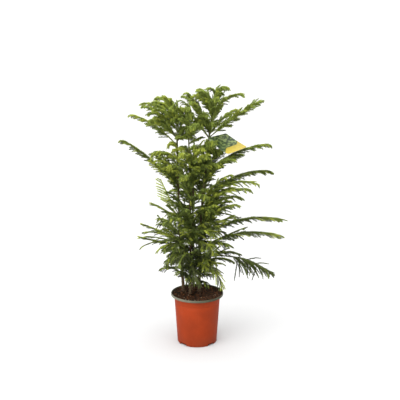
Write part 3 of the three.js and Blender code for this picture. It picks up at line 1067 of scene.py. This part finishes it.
def whorl_mates(row):
    """Shorter boughs on both sides of one bough, within its reach."""
    chance = np.random.default_rng(SEED["mates"] + row["number"])
    mates = []
    for place in range(row["mates"]):
        draw = chance.random(4)
        aside = (1 if place % 2 == 0 else -1) * lerp(*row["aside"], draw[0])
        mate = {
            **row,
            "azimuth": row["azimuth"] + aside,
            "length": min(row["mate_length"], row["length"] * lerp(*WHORL["share"], draw[1])),
            "height": row["height"] - row["lower"] + row["stagger"] * (draw[2] - 0.5),
            "rise": row["rise"] + row["steeper"] + WHORL["tilt"] * (draw[3] - 0.5),
            "arch": row["arch"] * WHORL["flatter"],
            "shortest": WHORL["shortest"],
            "bend": LATE_BEND,
            "limb": 0.0,
            "number": WHORL["first_number"] + WHORL["number_step"] * row["number"] + place,
        }
        mates.append(mate)
    return mates


def thickest(row):
    return LIMB["of_stem"] * stem_radius(STEMS[row["stem"]], row["height"])


def limb_radius(row):
    return min(LIMB["root_radius"], thickest(row))


def twig_radius(row):
    return min(TWIG["root_radius"], thickest(row))


def bark_relief(paths, radii, sides, seed):
    """Flaky plates and spiral leaf scars, as heights over a bar's skin."""
    rings = paths.shape[1]
    steps = np.linalg.norm(np.diff(paths[0], axis=0), axis=1)
    distance = np.concatenate([[0], np.cumsum(steps)])
    angle = round_turns(sides)
    skin = np.empty((rings, sides, 3))
    skin[..., 0] = radii[0][:, None] * np.cos(angle)
    skin[..., 1] = radii[0][:, None] * np.sin(angle) + seed * BARK["seed_step"]
    skin[..., 2] = distance[:, None]
    flat = skin.reshape(-1, 3)
    plates = smooth_noise(flat * (1, 1, BARK["plate_stretch"]), BARK["plate"])
    crumbs = smooth_noise(flat, BARK["crumb"])
    relief = BARK["plate_height"] * plates + BARK["crumb_height"] * crumbs
    relief = relief.reshape(rings, sides)
    for scar in range(int(distance[-1] / BARK["scar_step"])):
        place = scar * BARK["scar_step"]
        near = np.abs(distance - place) < BARK["scar_reach"]
        turn = np.angle(np.exp(1j * (angle - math.radians(GOLDEN_TURN) * scar)))
        apart = turn * radii[0][near][:, None] / BARK["scar_width"]
        along = (distance[near] - place) / BARK["scar_length"]
        relief[near] += BARK["scar_height"] * np.exp(-(along ** 2)[:, None] - apart ** 2)
    return (relief * np.minimum(1, radii[0] / BARK["full_radius"])[:, None])[None]


def add_stems(bark):
    sides = STEM_BARK["sides"]
    for number, (name, stem) in enumerate(STEMS.items()):
        foot, tip = SOIL_TOP - STEM_BARK["below_soil"], stem["tip"][2]
        heights = np.arange(foot, tip, STEM_BARK["ring_step"])
        radii = stem_radius(stem, np.maximum(heights, SOIL_TOP))
        for row in BOUGHS[name]:
            apart = (heights - row["height"]) / STEM_BARK["knuckle_length"]
            radii = radii + STEM_BARK["knuckle"] * np.exp(-(apart ** 2))
        radii[-1] = STEM_BARK["tip_radius"]
        paths = stem_point(stem, heights)[None]
        relief = bark_relief(paths, radii[None], sides, number + 1)
        points, triangles = bars(paths, radii[None], sides, relief)
        piece = add_piece("bark_stem_" + name, points, triangles, [bark])
        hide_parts("stem_" + name)


def add_limbs(rows, bark):
    sides = LIMB["sides"]
    for number, row in enumerate(rows):
        shares = np.linspace(0, row["limb"] + LIMB["overrun"], LIMB["rings"])
        radii = lerp(limb_radius(row), twig_radius(row), shares / shares[-1])
        paths = bough_frames(row, shares)[0][None]
        seed = number + LIMB["first_seed"]
        relief = LIMB["relief"] * bark_relief(paths, radii[None], sides, seed)
        points, triangles = bars(paths, radii[None], sides, relief)
        piece = add_piece("bark_bough_" + row["name"], points, triangles, [bark])
        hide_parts("bough_" + row["name"])


# Sprays


def tag_axes():
    """The card's directions: along it toward the front, across it and out of its face."""
    lengthwise = unit(TAG["lengthwise"])
    normal = unit(np.cross(lengthwise, TAG["crosswise"]))
    return lengthwise, np.cross(normal, lengthwise), normal


TAG_AXES = tag_axes()


def tag_place(points):
    """Place on the tag's card: along its length, across it and above it."""
    offset = points - TAG["front_corner"]
    return [offset @ axis for axis in TAG_AXES]


def on_tag(points, margin):
    run, width, _ = tag_place(points)
    lengthwise = (run > -TAG["length"] - margin) & (run < margin)
    return lengthwise & (width > -margin) & (width < TAG["width"] + margin)


def wood_points(limb_rows):
    """Points and radii of the stems and limbs, for keeping sprays clear of them."""
    wood = []
    for stem in STEMS.values():
        heights = np.arange(SOIL_TOP, stem["tip"][2] - WOOD["short_of_tip"], WOOD["step"])
        wood.append((stem_point(stem, heights), stem_radius(stem, heights)))
    for row in limb_rows:
        shares = np.linspace(WOOD["limb_from"], row["limb"], WOOD["limb_points"])
        radii = np.full(len(shares), limb_radius(row))
        wood.append((bough_frames(row, shares)[0], radii))
    return wood


def inside_crown(row, tips):
    outside_pot = np.hypot(tips[:, 0], tips[:, 1]) > POT["rim_radius"] + CROWN["past_rim"]
    lowest = np.where(outside_pot, CROWN["low"], POT["height"] + CROWN["over_rim"])
    highest = STEMS[row["stem"]]["tip"][2] + CROWN["above_leader"]
    level = (tips[:, 2] > lowest) & (tips[:, 2] < highest) & (np.abs(tips[:, 1]) < CROWN["depth"])
    return level & (tips[:, 0] > CROWN["left"]) & (tips[:, 0] < CROWN["right"])


def clear_of_wood(paths, wood):
    """Whether each spray, past its root, keeps off the stems, the limbs and the tag."""
    outer = paths[:, 2:]
    clear = np.ones(len(paths), dtype=bool)
    for points, radii in wood:
        apart = np.linalg.norm(outer[:, :, None] - points, axis=-1) - radii
        clear &= (apart > SPRAY_CLEARANCE["wood"]).all(axis=(1, 2))
    over = np.abs(tag_place(outer)[2]) < SPRAY_CLEARANCE["over_tag"]
    clear &= ~(on_tag(outer, SPRAY_CLEARANCE["beside_tag"]) & over).any(axis=1)
    return clear


def grow_sprays(row, wood, chance):
    """Paths of one bough's sprays, which lie along it and follow its bend, the longest form of each
    that fits, with their places on the bough and whether they hang below it."""
    leafy = row["length"] * (1 - row["limb"])
    count = max(row["fewest"], round(leafy / by_height(row, "spacing")))
    longest = min(by_height(row, "longest"), SPRAY["reach"] * leafy)
    order = np.arange(count)
    share = lerp(row["first"], SPRAY["last"], order / (count - 1))
    hanging = chance.random(count) < by_height(row, "hanging")
    tilt = by_height(row, "tilt") + by_height(row, "scatter") * jitter(chance, count)
    tilt = tilt - by_height(row, "hang") * hanging
    sweep = by_height(row, "sweep") - by_height(row, "closing") * share
    sweep = sweep + by_height(row, "splay") * hanging
    sweep = np.radians(sweep + by_height(row, "stray") * jitter(chance, count))
    turn = np.radians(np.where(order % 2 == 0, tilt, 180 - tilt))[:, None, None]
    lengths = lerp(longest, by_height(row, "shortest"), share)
    lengths = lengths * uneven(chance, count, SPRAY["least_length"], SPRAY["length_range"])
    inner = np.clip(SPRAY["inner_length"] + SPRAY["inner_gain"] * share, 0, 1)
    outer = np.clip((SPRAY["outer_end"] - share) / SPRAY["outer_fade"], 0, 1)
    lengths *= inner * outer
    lengths *= np.where(hanging, by_height(row, "shrink"), 1)
    droop = by_height(row, "droop") + SPRAY["droop_range"] * jitter(chance, count)
    stages = np.linspace(0, 1, SPRAY["rings"])
    kept = np.zeros(count)
    paths = np.zeros((count, SPRAY["rings"], 3))
    for form in SPRAY["tries"]:
        reach = form * lengths[:, None] * stages
        run = reach * np.cos(sweep)[:, None] / row["length"]
        places = lerp(row["limb"], 1, share)[:, None] + run
        frames = bough_frames(row, np.minimum(places, 1).ravel())
        axis, along, side, over = [part.reshape(paths.shape) for part in frames]
        tried = axis + along * (np.maximum(places - 1, 0) * row["length"])[:, :, None]
        outward = side * np.cos(turn) + over * np.sin(turn)
        tried = tried + outward * (reach * np.sin(sweep)[:, None])[:, :, None]
        tried = tried - UPWARD * (droop[:, None] * reach * stages / 2)[:, :, None]
        fits = (kept == 0) & inside_crown(row, tried[:, -1]) & clear_of_wood(tried, wood)
        paths[fits] = tried[fits]
        kept[fits] = form
    return paths[kept > 0], share[kept > 0], hanging[kept > 0]


def deal_tones(row, share, hanging, chance):
    """The tone of each spray: the deep tone is painted shade inside the crown, low down and below
    the bough, fresh goes by the bough's own share, the bright tone is painted light at the top, and
    near the pot sprays are greyer for older growth and darker as painted shade."""
    draw = chance.random((4, len(share)))
    low = np.clip((TONE_DEAL["low_below"] - row["height"]) / TONE_DEAL["over"], 0, 1)
    high = np.clip((row["height"] - TONE_DEAL["high_above"]) / TONE_DEAL["over"], 0, 1)
    shaded = by_height(row, "shade") * (1 - TONE_DEAL["outer_light"] * share)
    shaded = shaded + TONE_DEAL["hanging_shade"] * hanging
    fresh = row["fresh"] * (TONE_DEAL["fresh_root"] + TONE_DEAL["fresh_gain"] * share)
    # Painted shade: the deep tone inside the crown, on low boughs and on hanging sprays.
    tones = np.where(draw[0] < shaded, "deep", "leaf")
    # Painted light: the bright tone high up.
    lighter = np.where(tones == "deep", "leaf", "bright")
    tones = np.where(draw[3] < TONE_DEAL["bright"] * high, lighter, tones)
    # Near the pot: greyer for older growth, and darker as painted shade.
    greyer = np.where(tones == "deep", "dusk", "grey")
    tones = np.where(draw[1] < TONE_DEAL["grey"] * low, greyer, tones)
    tones = np.where(draw[2] < fresh, "fresh", tones)
    return np.full(len(share), "pale") if row.get("pale") else tones


# Needles


def needle_arrays(paths, radii, tones, per_mm, length, opening, chance):
    """Needles set in a spiral along twigs, closing toward their tips: roots, tips, outer sides and
    tones."""
    rings = paths.shape[1]
    spans = np.linalg.norm(np.diff(paths, axis=1), axis=2).sum(axis=1)
    counts = np.maximum(NEEDLE["fewest"], np.round(spans * per_mm)).astype(int)
    twig = np.repeat(np.arange(len(paths)), counts)
    count = len(twig)
    order = np.arange(count) - np.repeat(np.cumsum(counts) - counts, counts)
    share = ((order + chance.random(count)) / counts[twig]) ** NEEDLE["crowding"]
    stage = np.minimum(share * (rings - 1), rings - 1.001)
    lower = stage.astype(int)
    part = (stage - lower)[:, None]
    near, far = paths[twig, lower], paths[twig, lower + 1]
    along = unit(far - near)
    across, over = cross_axes(along, along[:, 2:])
    turn = np.radians(GOLDEN_TURN * order + NEEDLE["turn_range"] * jitter(chance, count))[:, None]
    outward = across * np.cos(turn) + over * np.sin(turn)
    angle = opening * (1 - NEEDLE["closing"] * share ** 3)
    angle = np.radians(angle + NEEDLE["angle_range"] * jitter(chance, count))[:, None]
    heading = along * np.cos(angle) + outward * np.sin(angle)
    fade = np.minimum(1, NEEDLE["inner_length"] + NEEDLE["inner_gain"] * share)
    fade = fade * (1 - NEEDLE["tip_loss"] * share ** 4)
    spread = uneven(chance, count, NEEDLE["least_length"], NEEDLE["length_range"])
    lengths = (length * fade * spread)[:, None]
    skin = lerp(radii[twig, lower], radii[twig, lower + 1], part[:, 0])[:, None]
    roots = lerp(near, far, part) + outward * skin * NEEDLE["sunk"]
    tips = roots + heading * lengths
    return {"root": roots, "tip": tips, "outward": outward, "tone": tones[twig]}


def fitting_needles(needles):
    """Drops needles that would pass through the tag or stand in the pot's rim."""
    tips = needles["tip"]
    before, after = tag_place(needles["root"])[2], tag_place(tips)[2]
    crossing = (before * after < 0) | (np.abs(after) < NEEDLE_CLEARANCE["over_tag"])
    through = on_tag(tips, NEEDLE_CLEARANCE["beside_tag"]) & crossing
    from_rim = np.abs(np.hypot(tips[:, 0], tips[:, 1]) - NEEDLE_CLEARANCE["rim_middle"])
    low = tips[:, 2] < POT["height"] + NEEDLE_CLEARANCE["over_rim"]
    keep = ~(through | (low & (from_rim < NEEDLE_CLEARANCE["rim_half_width"])))
    return {key: values[keep] for key, values in needles.items()}


def needle_mesh(needles):
    """Awl-shaped, slightly flattened needles of four faces, widest at the root."""
    heading = unit(needles["tip"] - needles["root"])
    side = unit(np.cross(heading, needles["outward"]))
    face = np.cross(heading, side)
    turns = round_turns(3) + math.pi / 2
    wide = NEEDLE["half_width"] * np.cos(turns)[:, None, None] * side
    thick = NEEDLE["half_thickness"] * np.sin(turns)[:, None, None] * face
    points = np.stack([*(needles["root"] + wide + thick), needles["tip"]], axis=1)
    return points.reshape(-1, 3), repeat(NEEDLE_FACES, len(points), 4)


def clothe_bough(row, wood):
    """One bough's twigs, its own and its sprays', and the needles on both."""
    chance = np.random.default_rng(SEED["bough"] + SEED["bough_step"] * row["number"])
    shares = np.linspace(row["limb"], 1, TWIG["rings"])
    axis = bough_frames(row, shares)[0][None]
    taper = (shares - shares[0]) / (1 - shares[0])
    axis_radii = lerp(twig_radius(row), TWIG["tip_radius"], taper)[None]
    paths, share, hanging = grow_sprays(row, wood, chance)
    stages = np.linspace(0, 1, SPRAY["rings"])
    radii = lerp(SPRAY["root_radius"], SPRAY["tip_radius"], stages)
    radii = np.broadcast_to(radii, paths.shape[:2])
    twigs = [bars(axis, axis_radii, TWIG["sides"]), bars(paths, radii, SPRAY["sides"])]
    tones = deal_tones(row, share, hanging, chance)
    own_tone = deal_tones(row, np.array([BOUGH_NEEDLES["tone_at"]]), np.array([False]), chance)
    bare = 2 if row["limb"] == 0 else 1
    per_mm, length, opening = NEEDLE["per_mm"], by_height(row, "needle"), by_height(row, "opening")
    closer, longer = per_mm * BOUGH_NEEDLES["closer"], length * BOUGH_NEEDLES["longer"]
    leafy, leafy_radii = axis[:, bare:], axis_radii[:, bare:]
    own = needle_arrays(leafy, leafy_radii, own_tone, closer, longer, opening, chance)
    return twigs, [own, needle_arrays(paths, radii, tones, per_mm, length, opening, chance)]


def clothe_stem(name, number):
    """The needles on one stem itself."""
    stem = STEMS[name]
    chance = np.random.default_rng(SEED["stem_needles"] + number)
    needles = []
    for low, high, per_mm, tone in STEM_NEEDLES[name]:
        heights = np.linspace(low, high, STEM_NEEDLE["rings"])
        path, radii = stem_point(stem, heights)[None], stem_radius(stem, heights)[None]
        length, opening = STEM_NEEDLE["length"], STEM_NEEDLE["opening"]
        tones = np.array([tone])
        needles.append(needle_arrays(path, radii, tones, per_mm, length, opening, chance))
    return needles


def add_foliage(rows, finer, wood, twig_skin, tone_skins):
    """Twigs and needles of every mass, stem by stem."""
    most = PIECE_TRIANGLES // len(NEEDLE_FACES)
    for stem_number, stem_name in enumerate(STEMS):
        twigs, needles = [], []
        for row in [each for each in rows + finer if each["stem"] == stem_name]:
            row_twigs, row_needles = clothe_bough(row, wood)
            twigs += row_twigs
            needles += row_needles
        needles += clothe_stem(stem_name, stem_number)
        points, triangles = join(twigs)
        piece = add_piece("twigs_" + stem_name, points, triangles, [twig_skin])
        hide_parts(*[f"foliage_{row['name']}" for row in rows if row["stem"] == stem_name])
        every = {key: np.concatenate([each[key] for each in needles]) for key in needles[0]}
        every = fitting_needles(every)
        for tone, skin in tone_skins.items():
            chosen = {key: values[every["tone"] == tone] for key, values in every.items()}
            for part, start in enumerate(range(0, len(chosen["root"]), most)):
                batch = {key: values[start:start + most] for key, values in chosen.items()}
                points, triangles = needle_mesh(batch)
                name = f"needles_{stem_name}_{tone}_{part + 1}"
                add_piece(name, points, triangles, [skin])


# Pot and compost


def body_radius(height):
    ledge = POT["height"] - POT["rim_height"]
    return lerp(POT["base_radius"], POT["body_radius"], height / ledge)


def pot_profile(notch_back=None):
    """The pot's outline from under its foot, over the rim and down inside. Short steps of about a
    millimetre ease its edges."""
    top = POT["height"]
    ledge = top - POT["rim_height"]
    rim = POT["rim_radius"]
    collar = rim - POT["collar"]
    inner = POT["body_radius"] - POT["wall"]
    foot = POT["base_radius"]
    step = NOTCH["height"]
    groove = POT["groove"]
    floor = POT["base_thickness"]
    lining = POT["inner_ring"]
    if notch_back is None:
        low = [(foot - 1, 0), (foot - 0.3, 0.3), (body_radius(1), 1)]
    else:
        low = [(notch_back, 0), (notch_back, 0.5 * step), (notch_back, step)]
    below = (step, step + 1.0, *POT["rings_below_groove"], groove - 1)
    above = (groove + 1, *POT["rings_above_groove"], ledge - 1.5)
    walls = [(body_radius(z), z) for z in below]
    walls += [(body_radius(groove) - POT["groove_depth"], groove)]
    walls += [(body_radius(z), z) for z in above]
    flange = [
        (body_radius(ledge) + 0.5, ledge - 0.4),
        (body_radius(ledge) + 1.6, ledge),
        (rim - 1.6, ledge),
        (rim - 0.5, ledge + 0.4),
        (rim, ledge + 1.5),
        (rim, top - 1.4),
        (rim - 0.4, top - 0.4),
        (rim - 1.2, top),
        (collar + 0.6, top),
        (collar + 0.1, top - 0.5),
        (collar, top - 1.2),
        (collar, ledge + 3),
        (collar - 1, ledge + 2),
        (inner + 1, ledge + 2),
        (inner, ledge + 1),
        (body_radius(lining) - POT["wall"], lining),
        (foot - POT["wall"], floor),
    ]
    ends = [(POT["underside_ring"], 0)], [(POT["floor_ring"], floor)]
    return np.array(ends[0] + low + walls + flange + ends[1], dtype=float)


def pot_columns():
    """Angles round the pot, each with the depth of its notch or none."""
    half = math.degrees(math.asin(NOTCH["width"] / 2 / POT["base_radius"]))
    apart = 360 / NOTCH["count"]
    columns = []
    for k in range(NOTCH["count"]):
        centre = NOTCH["first_angle"] + apart * k
        for turn in np.linspace(-half, half, NOTCH["columns"]):
            columns.append((centre + turn, NOTCH["back"] / math.cos(math.radians(turn))))
        for turn in np.linspace(half, apart - half, NOTCH["columns_between"]):
            columns.append((centre + turn, None))
    return columns


def add_pot(terracotta, rim_skin):
    columns = pot_columns()
    profiles = np.array([pot_profile(back) for _, back in columns])
    angles = np.radians([angle for angle, _ in columns])[:, None]
    radius, height = profiles[..., 0], profiles[..., 1]
    points = np.stack([radius * np.cos(angles), radius * np.sin(angles), height], axis=-1)
    points = points.transpose(1, 0, 2)
    rows, count = points.shape[:2]
    under, inside = rows * count, rows * count + 1
    turn = np.arange(count)
    inside_fan = fan(inside, (rows - 1) * count + turn)
    wall = grid_triangles(rows, count, True)
    triangles = np.concatenate([wall, fan(under, turn, turned=True), inside_fan])
    ends = np.array([[0, 0, 0], [0, 0, POT["base_thickness"]]])
    flat = np.concatenate([points.reshape(-1, 3), ends])
    sway = POT["sway"] * smooth_noise(flat, POT["sway_width"])
    upward = np.clip(flat[:, 2] / POT["sway_from"], 0, 1)
    flat[:, :2] *= (1 + sway / POT["sway_radius"] * upward)[:, None]
    # The rim's finish covers the flange and the inside, down to just above the notches.
    middle = flat[triangles].mean(axis=1)
    reach = np.hypot(middle[:, 0], middle[:, 1])
    over_ledge = middle[:, 2] > POT["height"] - POT["rim_height"] - 0.7
    lining = over_ledge | (reach < body_radius(middle[:, 2]) - 1)
    lining &= middle[:, 2] > NOTCH["height"] + 2
    skins = [terracotta, rim_skin]
    piece = add_piece("pot_shell", flat, triangles, skins, lining, crease=40)
    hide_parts("pot")


def compost_height(points):
    """Top of the compost: crumbly, heaped against the rim and round the stems."""
    flat = np.column_stack([points[:, 0], points[:, 1], np.zeros(len(points))])
    height = SOIL_TOP + COMPOST["raised"]
    for width, lump in COMPOST["lumps"]:
        height = height + lump * smooth_noise(flat, width)
    reach = np.hypot(points[:, 0], points[:, 1])
    height += COMPOST["rim_heap"] * (reach / COMPOST["reach"]) ** 3
    for stem in STEMS.values():
        apart = np.hypot(points[:, 0] - stem["foot"][0], points[:, 1] - stem["foot"][1])
        height += COMPOST["stem_heap"] * np.exp(-((apart / COMPOST["stem_heap_reach"]) ** 2))
    return np.minimum(height, POT["height"] - COMPOST["below_rim"])


def add_compost(soil):
    rings, turns = COMPOST["rings"], COMPOST["turns"]
    radius = COMPOST["reach"] * np.linspace(COMPOST["first_ring"], 1, rings)
    angle = round_turns(turns)
    x, y = np.outer(radius, np.cos(angle)), np.outer(radius, np.sin(angle))
    top = np.column_stack([x.ravel(), y.ravel()])
    at_edge = np.hypot(*top.T) > COMPOST["edge_from"]
    lowest = np.where(at_edge, COMPOST["edge_height"], 0)
    points = np.column_stack([top, np.maximum(compost_height(top), lowest)])
    edge = np.column_stack([np.cos(angle), np.sin(angle)])
    skirts = [np.column_stack([edge * reach, np.full(turns, z)]) for reach, z in COMPOST["skirt"]]
    middle = compost_height(np.zeros((1, 2)))[0]
    ends = np.array([[0, 0, middle], [0, 0, COMPOST["skirt"][-1][1]]])
    points = np.concatenate([points, *skirts, ends])
    last = rings + len(skirts) - 1
    crown, floor = len(points) - 2, len(points) - 1
    turn = np.arange(turns)
    skin = grid_triangles(last + 1, turns, True)[:, ::-1]
    floor_fan = fan(floor, last * turns + turn, turned=True)
    triangles = np.concatenate([skin, fan(crown, turn), floor_fan])
    piece = add_piece("compost", points, triangles, [soil])
    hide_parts("soil")


def add_chips(kinds):
    """Bark chips and crumbs strewn on the compost: name, finish, count and longest of each kind."""
    chance = np.random.default_rng(SEED["chips"])
    for name, skin, count, longest in kinds:
        spread = CHIP["spread"] * np.sqrt(chance.random(count))
        around = 2 * math.pi * chance.random(count)
        ground = np.column_stack([spread * np.cos(around), spread * np.sin(around)])
        centre = np.column_stack([ground, compost_height(ground) + CHIP["raised"]])
        size = longest * uneven(chance, (count, 1), *CHIP["size"]) * CHIP["form"]
        rough = uneven(chance, (count, len(CHIP_CORNERS), 1), *CHIP["roughness"])
        chips = CHIP_CORNERS * size[:, None] * rough
        yaw = 2 * math.pi * chance.random(count)
        tilt = CHIP["tilt"] * jitter(chance, count)
        level = np.stack([np.cos(yaw), np.sin(yaw), np.zeros(count)], axis=1)
        nose = level * np.cos(tilt)[:, None] + UPWARD * np.sin(tilt)[:, None]
        flank = np.cross(np.broadcast_to(UPWARD, level.shape), level)
        crest = np.cross(nose, flank)
        turned = chips[..., :1] * nose[:, None] + chips[..., 1:2] * flank[:, None]
        turned = turned + chips[..., 2:] * crest[:, None]
        points = (centre[:, None] + turned).reshape(-1, 3)
        triangles = repeat(CHIP_FACES, count, len(CHIP_CORNERS))
        add_piece(name, points, triangles, [skin], crease=30)


# Tag


def card_mesh():
    """The bowed card with round corners: its points, triangles, and which of them are plain."""
    lengthwise, crosswise, normal = TAG_AXES
    corner, length, width = TAG["corner"], TAG["length"], TAG["width"]
    straight = TAG["straight_rows"]
    arc = np.radians(np.linspace(0, 90, TAG["corner_rows"]))
    near = corner * (1 - np.cos(arc))
    between = np.linspace(corner, width - corner, straight + 2)[1:-1]
    rows = np.concatenate([near, between, (width - near)[::-1]])
    rounding = 1 - np.sin(arc)
    inset = corner * np.concatenate([rounding, np.zeros(straight), rounding[::-1]])
    run = lerp(-length + inset[:, None], -inset[:, None], np.linspace(0, 1, TAG["columns"]))
    across = np.broadcast_to(rows[:, None], run.shape)
    half_length, half_width = length / 2, width / 2
    bow = TAG["end_bow"] * ((run + half_length) / half_length) ** 2 - TAG["sunk"]
    bow = bow + TAG["side_bow"] * ((across - half_width) / half_width) ** 2
    bow = bow + TAG["curl"] * (run / length) ** 2 * (1 - across / width)
    flat = TAG["front_corner"] + run[..., None] * lengthwise + across[..., None] * crosswise
    flat = flat + bow[..., None] * normal
    top = (flat + normal * TAG["thickness"] * (1 - TAG["skin"])).reshape(-1, 3)
    under = (flat + normal * TAG["thickness"] * TAG["skin"]).reshape(-1, 3)
    skin = grid_triangles(*run.shape, False)
    index = np.arange(run.size).reshape(run.shape)
    edge = np.concatenate([index[0], index[1:, -1], index[-1, -2::-1], index[-2:0:-1, 0]])
    following = np.roll(edge, -1)
    below = len(top)
    side = np.concatenate([
        np.stack([edge, edge + below, following + below], axis=1),
        np.stack([edge, following + below, following], axis=1),
    ])
    triangles = np.concatenate([skin[:, ::-1], skin + below, side])
    plain = np.concatenate([np.zeros(len(skin)), np.ones(len(skin) + len(side))])
    return np.concatenate([top, under]), triangles, plain


def band(points, flat, thick, half_width, half_thickness):
    """Rings of a flat band along points, with eased edges."""
    rings = [points + flat * half_width * u + thick * half_thickness * v for u, v in BAND_OUTLINE]
    return np.stack(rings, axis=1)


def tag_tail(root, end):
    """The tail from the card down to the loop, turning from the card's face to upright."""
    middle = lerp(root, end, TAG["tail_bend"])
    middle[2] = end[2]
    share = np.linspace(0, 1, TAG["tail_rings"])[:, None]
    points = root * (1 - share) ** 2 + 2 * middle * share * (1 - share) + end * share ** 2
    along = unit(np.gradient(points, axis=0))
    flat = lerp(TAG_AXES[0], UPWARD, share)
    flat = unit(flat - along * (flat * along).sum(axis=1, keepdims=True))
    half_width = TAG["tail_width"] / 2 * TAG["tail_slimmer"]
    rings = band(points, flat, np.cross(along, flat), half_width, TAG["tail_half_thickness"])
    return rings.reshape(-1, 3), tube_triangles(len(rings), len(BAND_OUTLINE))


def tag_loop(centre, radius):
    """The loop round the right stem."""
    turns = TAG["loop_turns"]
    turn = np.linspace(0, 2 * math.pi, turns + 1)[:-1]
    outward = np.column_stack([np.cos(turn), np.sin(turn), np.zeros(turns)])
    upright = np.broadcast_to(UPWARD, outward.shape)
    points = centre + outward * radius
    rings = band(points, upright, outward, TAG["tail_width"] / 2, TAG["loop_wall"] / 2)
    loop = rings.transpose(1, 0, 2)
    wrap = np.concatenate([loop, loop[:1]])
    return wrap.reshape(-1, 3), grid_triangles(len(wrap), turns, True)


def add_tag(print_skin, white):
    lengthwise, crosswise, normal = TAG_AXES
    stem = STEMS["right"]
    card_points, card_triangles, card_plain = card_mesh()
    centre = stem_point(stem, TAG["loop_height"])
    inside = stem_radius(stem, TAG["loop_height"]) + TAG["loop_clearance"]
    radius = inside + TAG["loop_wall"] / 2
    root = TAG["front_corner"] - TAG["tail_from"] * lengthwise + TAG["tail_inset"] * crosswise
    root = root + 0.5 * TAG["thickness"] * normal
    to_stem = unit((centre - root) * (1, 1, 0))
    tail = tag_tail(root, centre - to_stem * radius)
    loop = tag_loop(centre, radius)
    points, triangles = join([(card_points, card_triangles), tail, loop])
    plain = np.concatenate([card_plain, np.ones(len(tail[1]) + len(loop[1]))])
    piece = add_piece("care_tag", points, triangles, [print_skin, white], plain, crease=40)
    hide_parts("tag")


# Studio


def add_studio():
    scene = bpy.context.scene
    scene.view_settings.view_transform = "Standard"

    camera = bpy.data.objects.new("camera", bpy.data.cameras.new("camera"))
    camera.data.sensor_width = CAMERA["sensor"]
    camera.data.lens = CAMERA["lens"]
    camera.location = CAMERA["place"]
    camera.rotation_euler = (math.radians(CAMERA["tip"]), 0, 0)
    scene.collection.objects.link(camera)
    scene.camera = camera

    half = FLOOR["half"]
    corners = [(-half, -half, 0), (half, -half, 0), (half, half, 0), (-half, half, 0)]
    mesh = bpy.data.meshes.new("floor")
    mesh.from_pydata(corners, [], [(0, 1, 2, 3)])
    floor = bpy.data.objects.new("floor", mesh)
    floor.location.z = -FLOOR["sunk"]
    scene.collection.objects.link(floor)
    finish = Finish("floor_white", Specular_IOR_Level=0.1, Roughness=0.9)
    cloud = finish.grain(0.6, 2)
    finish.paint(Base_Color=finish.blend(cloud, FLOOR["dull"], FLOOR["light"]))
    mesh.materials.append(finish.material)

    world = bpy.data.worlds.new("studio")
    world.use_nodes = True
    background = world.node_tree.nodes["Background"]
    background.inputs["Color"].default_value = (1, 1, 1, 1)
    background.inputs["Strength"].default_value = WORLD_LIGHT
    scene.world = world

    for name, shines_from, strength, spread in LAMPS:
        light = bpy.data.lights.new(name, "SUN")
        light.energy = strength
        light.angle = math.radians(spread)
        lamp = bpy.data.objects.new(name, light)
        lamp.rotation_euler = Vector(shines_from).to_track_quat("Z", "Y").to_euler()
        scene.collection.objects.link(lamp)


ROWS = main_rows()
LIMB_ROWS = [row for row in ROWS if row["limb"] > 0]

add_studio()
bark = bark_finish()
add_stems(bark)
add_limbs(LIMB_ROWS, bark)
twig_skin = twig_finish()
tone_skins = {tone: needle_finish(tone, colour) for tone, colour in TONES.items()}
add_foliage(ROWS, finer_rows(ROWS), wood_points(LIMB_ROWS), twig_skin, tone_skins)
add_pot(terracotta_finish(), rim_finish())
soil = compost_finish("compost_dark", (0.0042, 0.0024, 0.0009), (0.023, 0.011, 0.0038))
red = compost_finish("chip_red", (0.055, 0.021, 0.009), (0.12, 0.048, 0.02))
dark = compost_finish("chip_dark", (0.020, 0.011, 0.007), (0.06, 0.032, 0.019))
pale = compost_finish("chip_pale", (0.28, 0.20, 0.12), (0.50, 0.42, 0.30))
add_compost(soil)
add_chips([
    ("chips_red", red, 420, 9),
    ("chips_dark", dark, 420, 11),
    ("chips_pale", pale, 36, 6),
])
add_tag(tag_print_finish(), tag_white_finish())
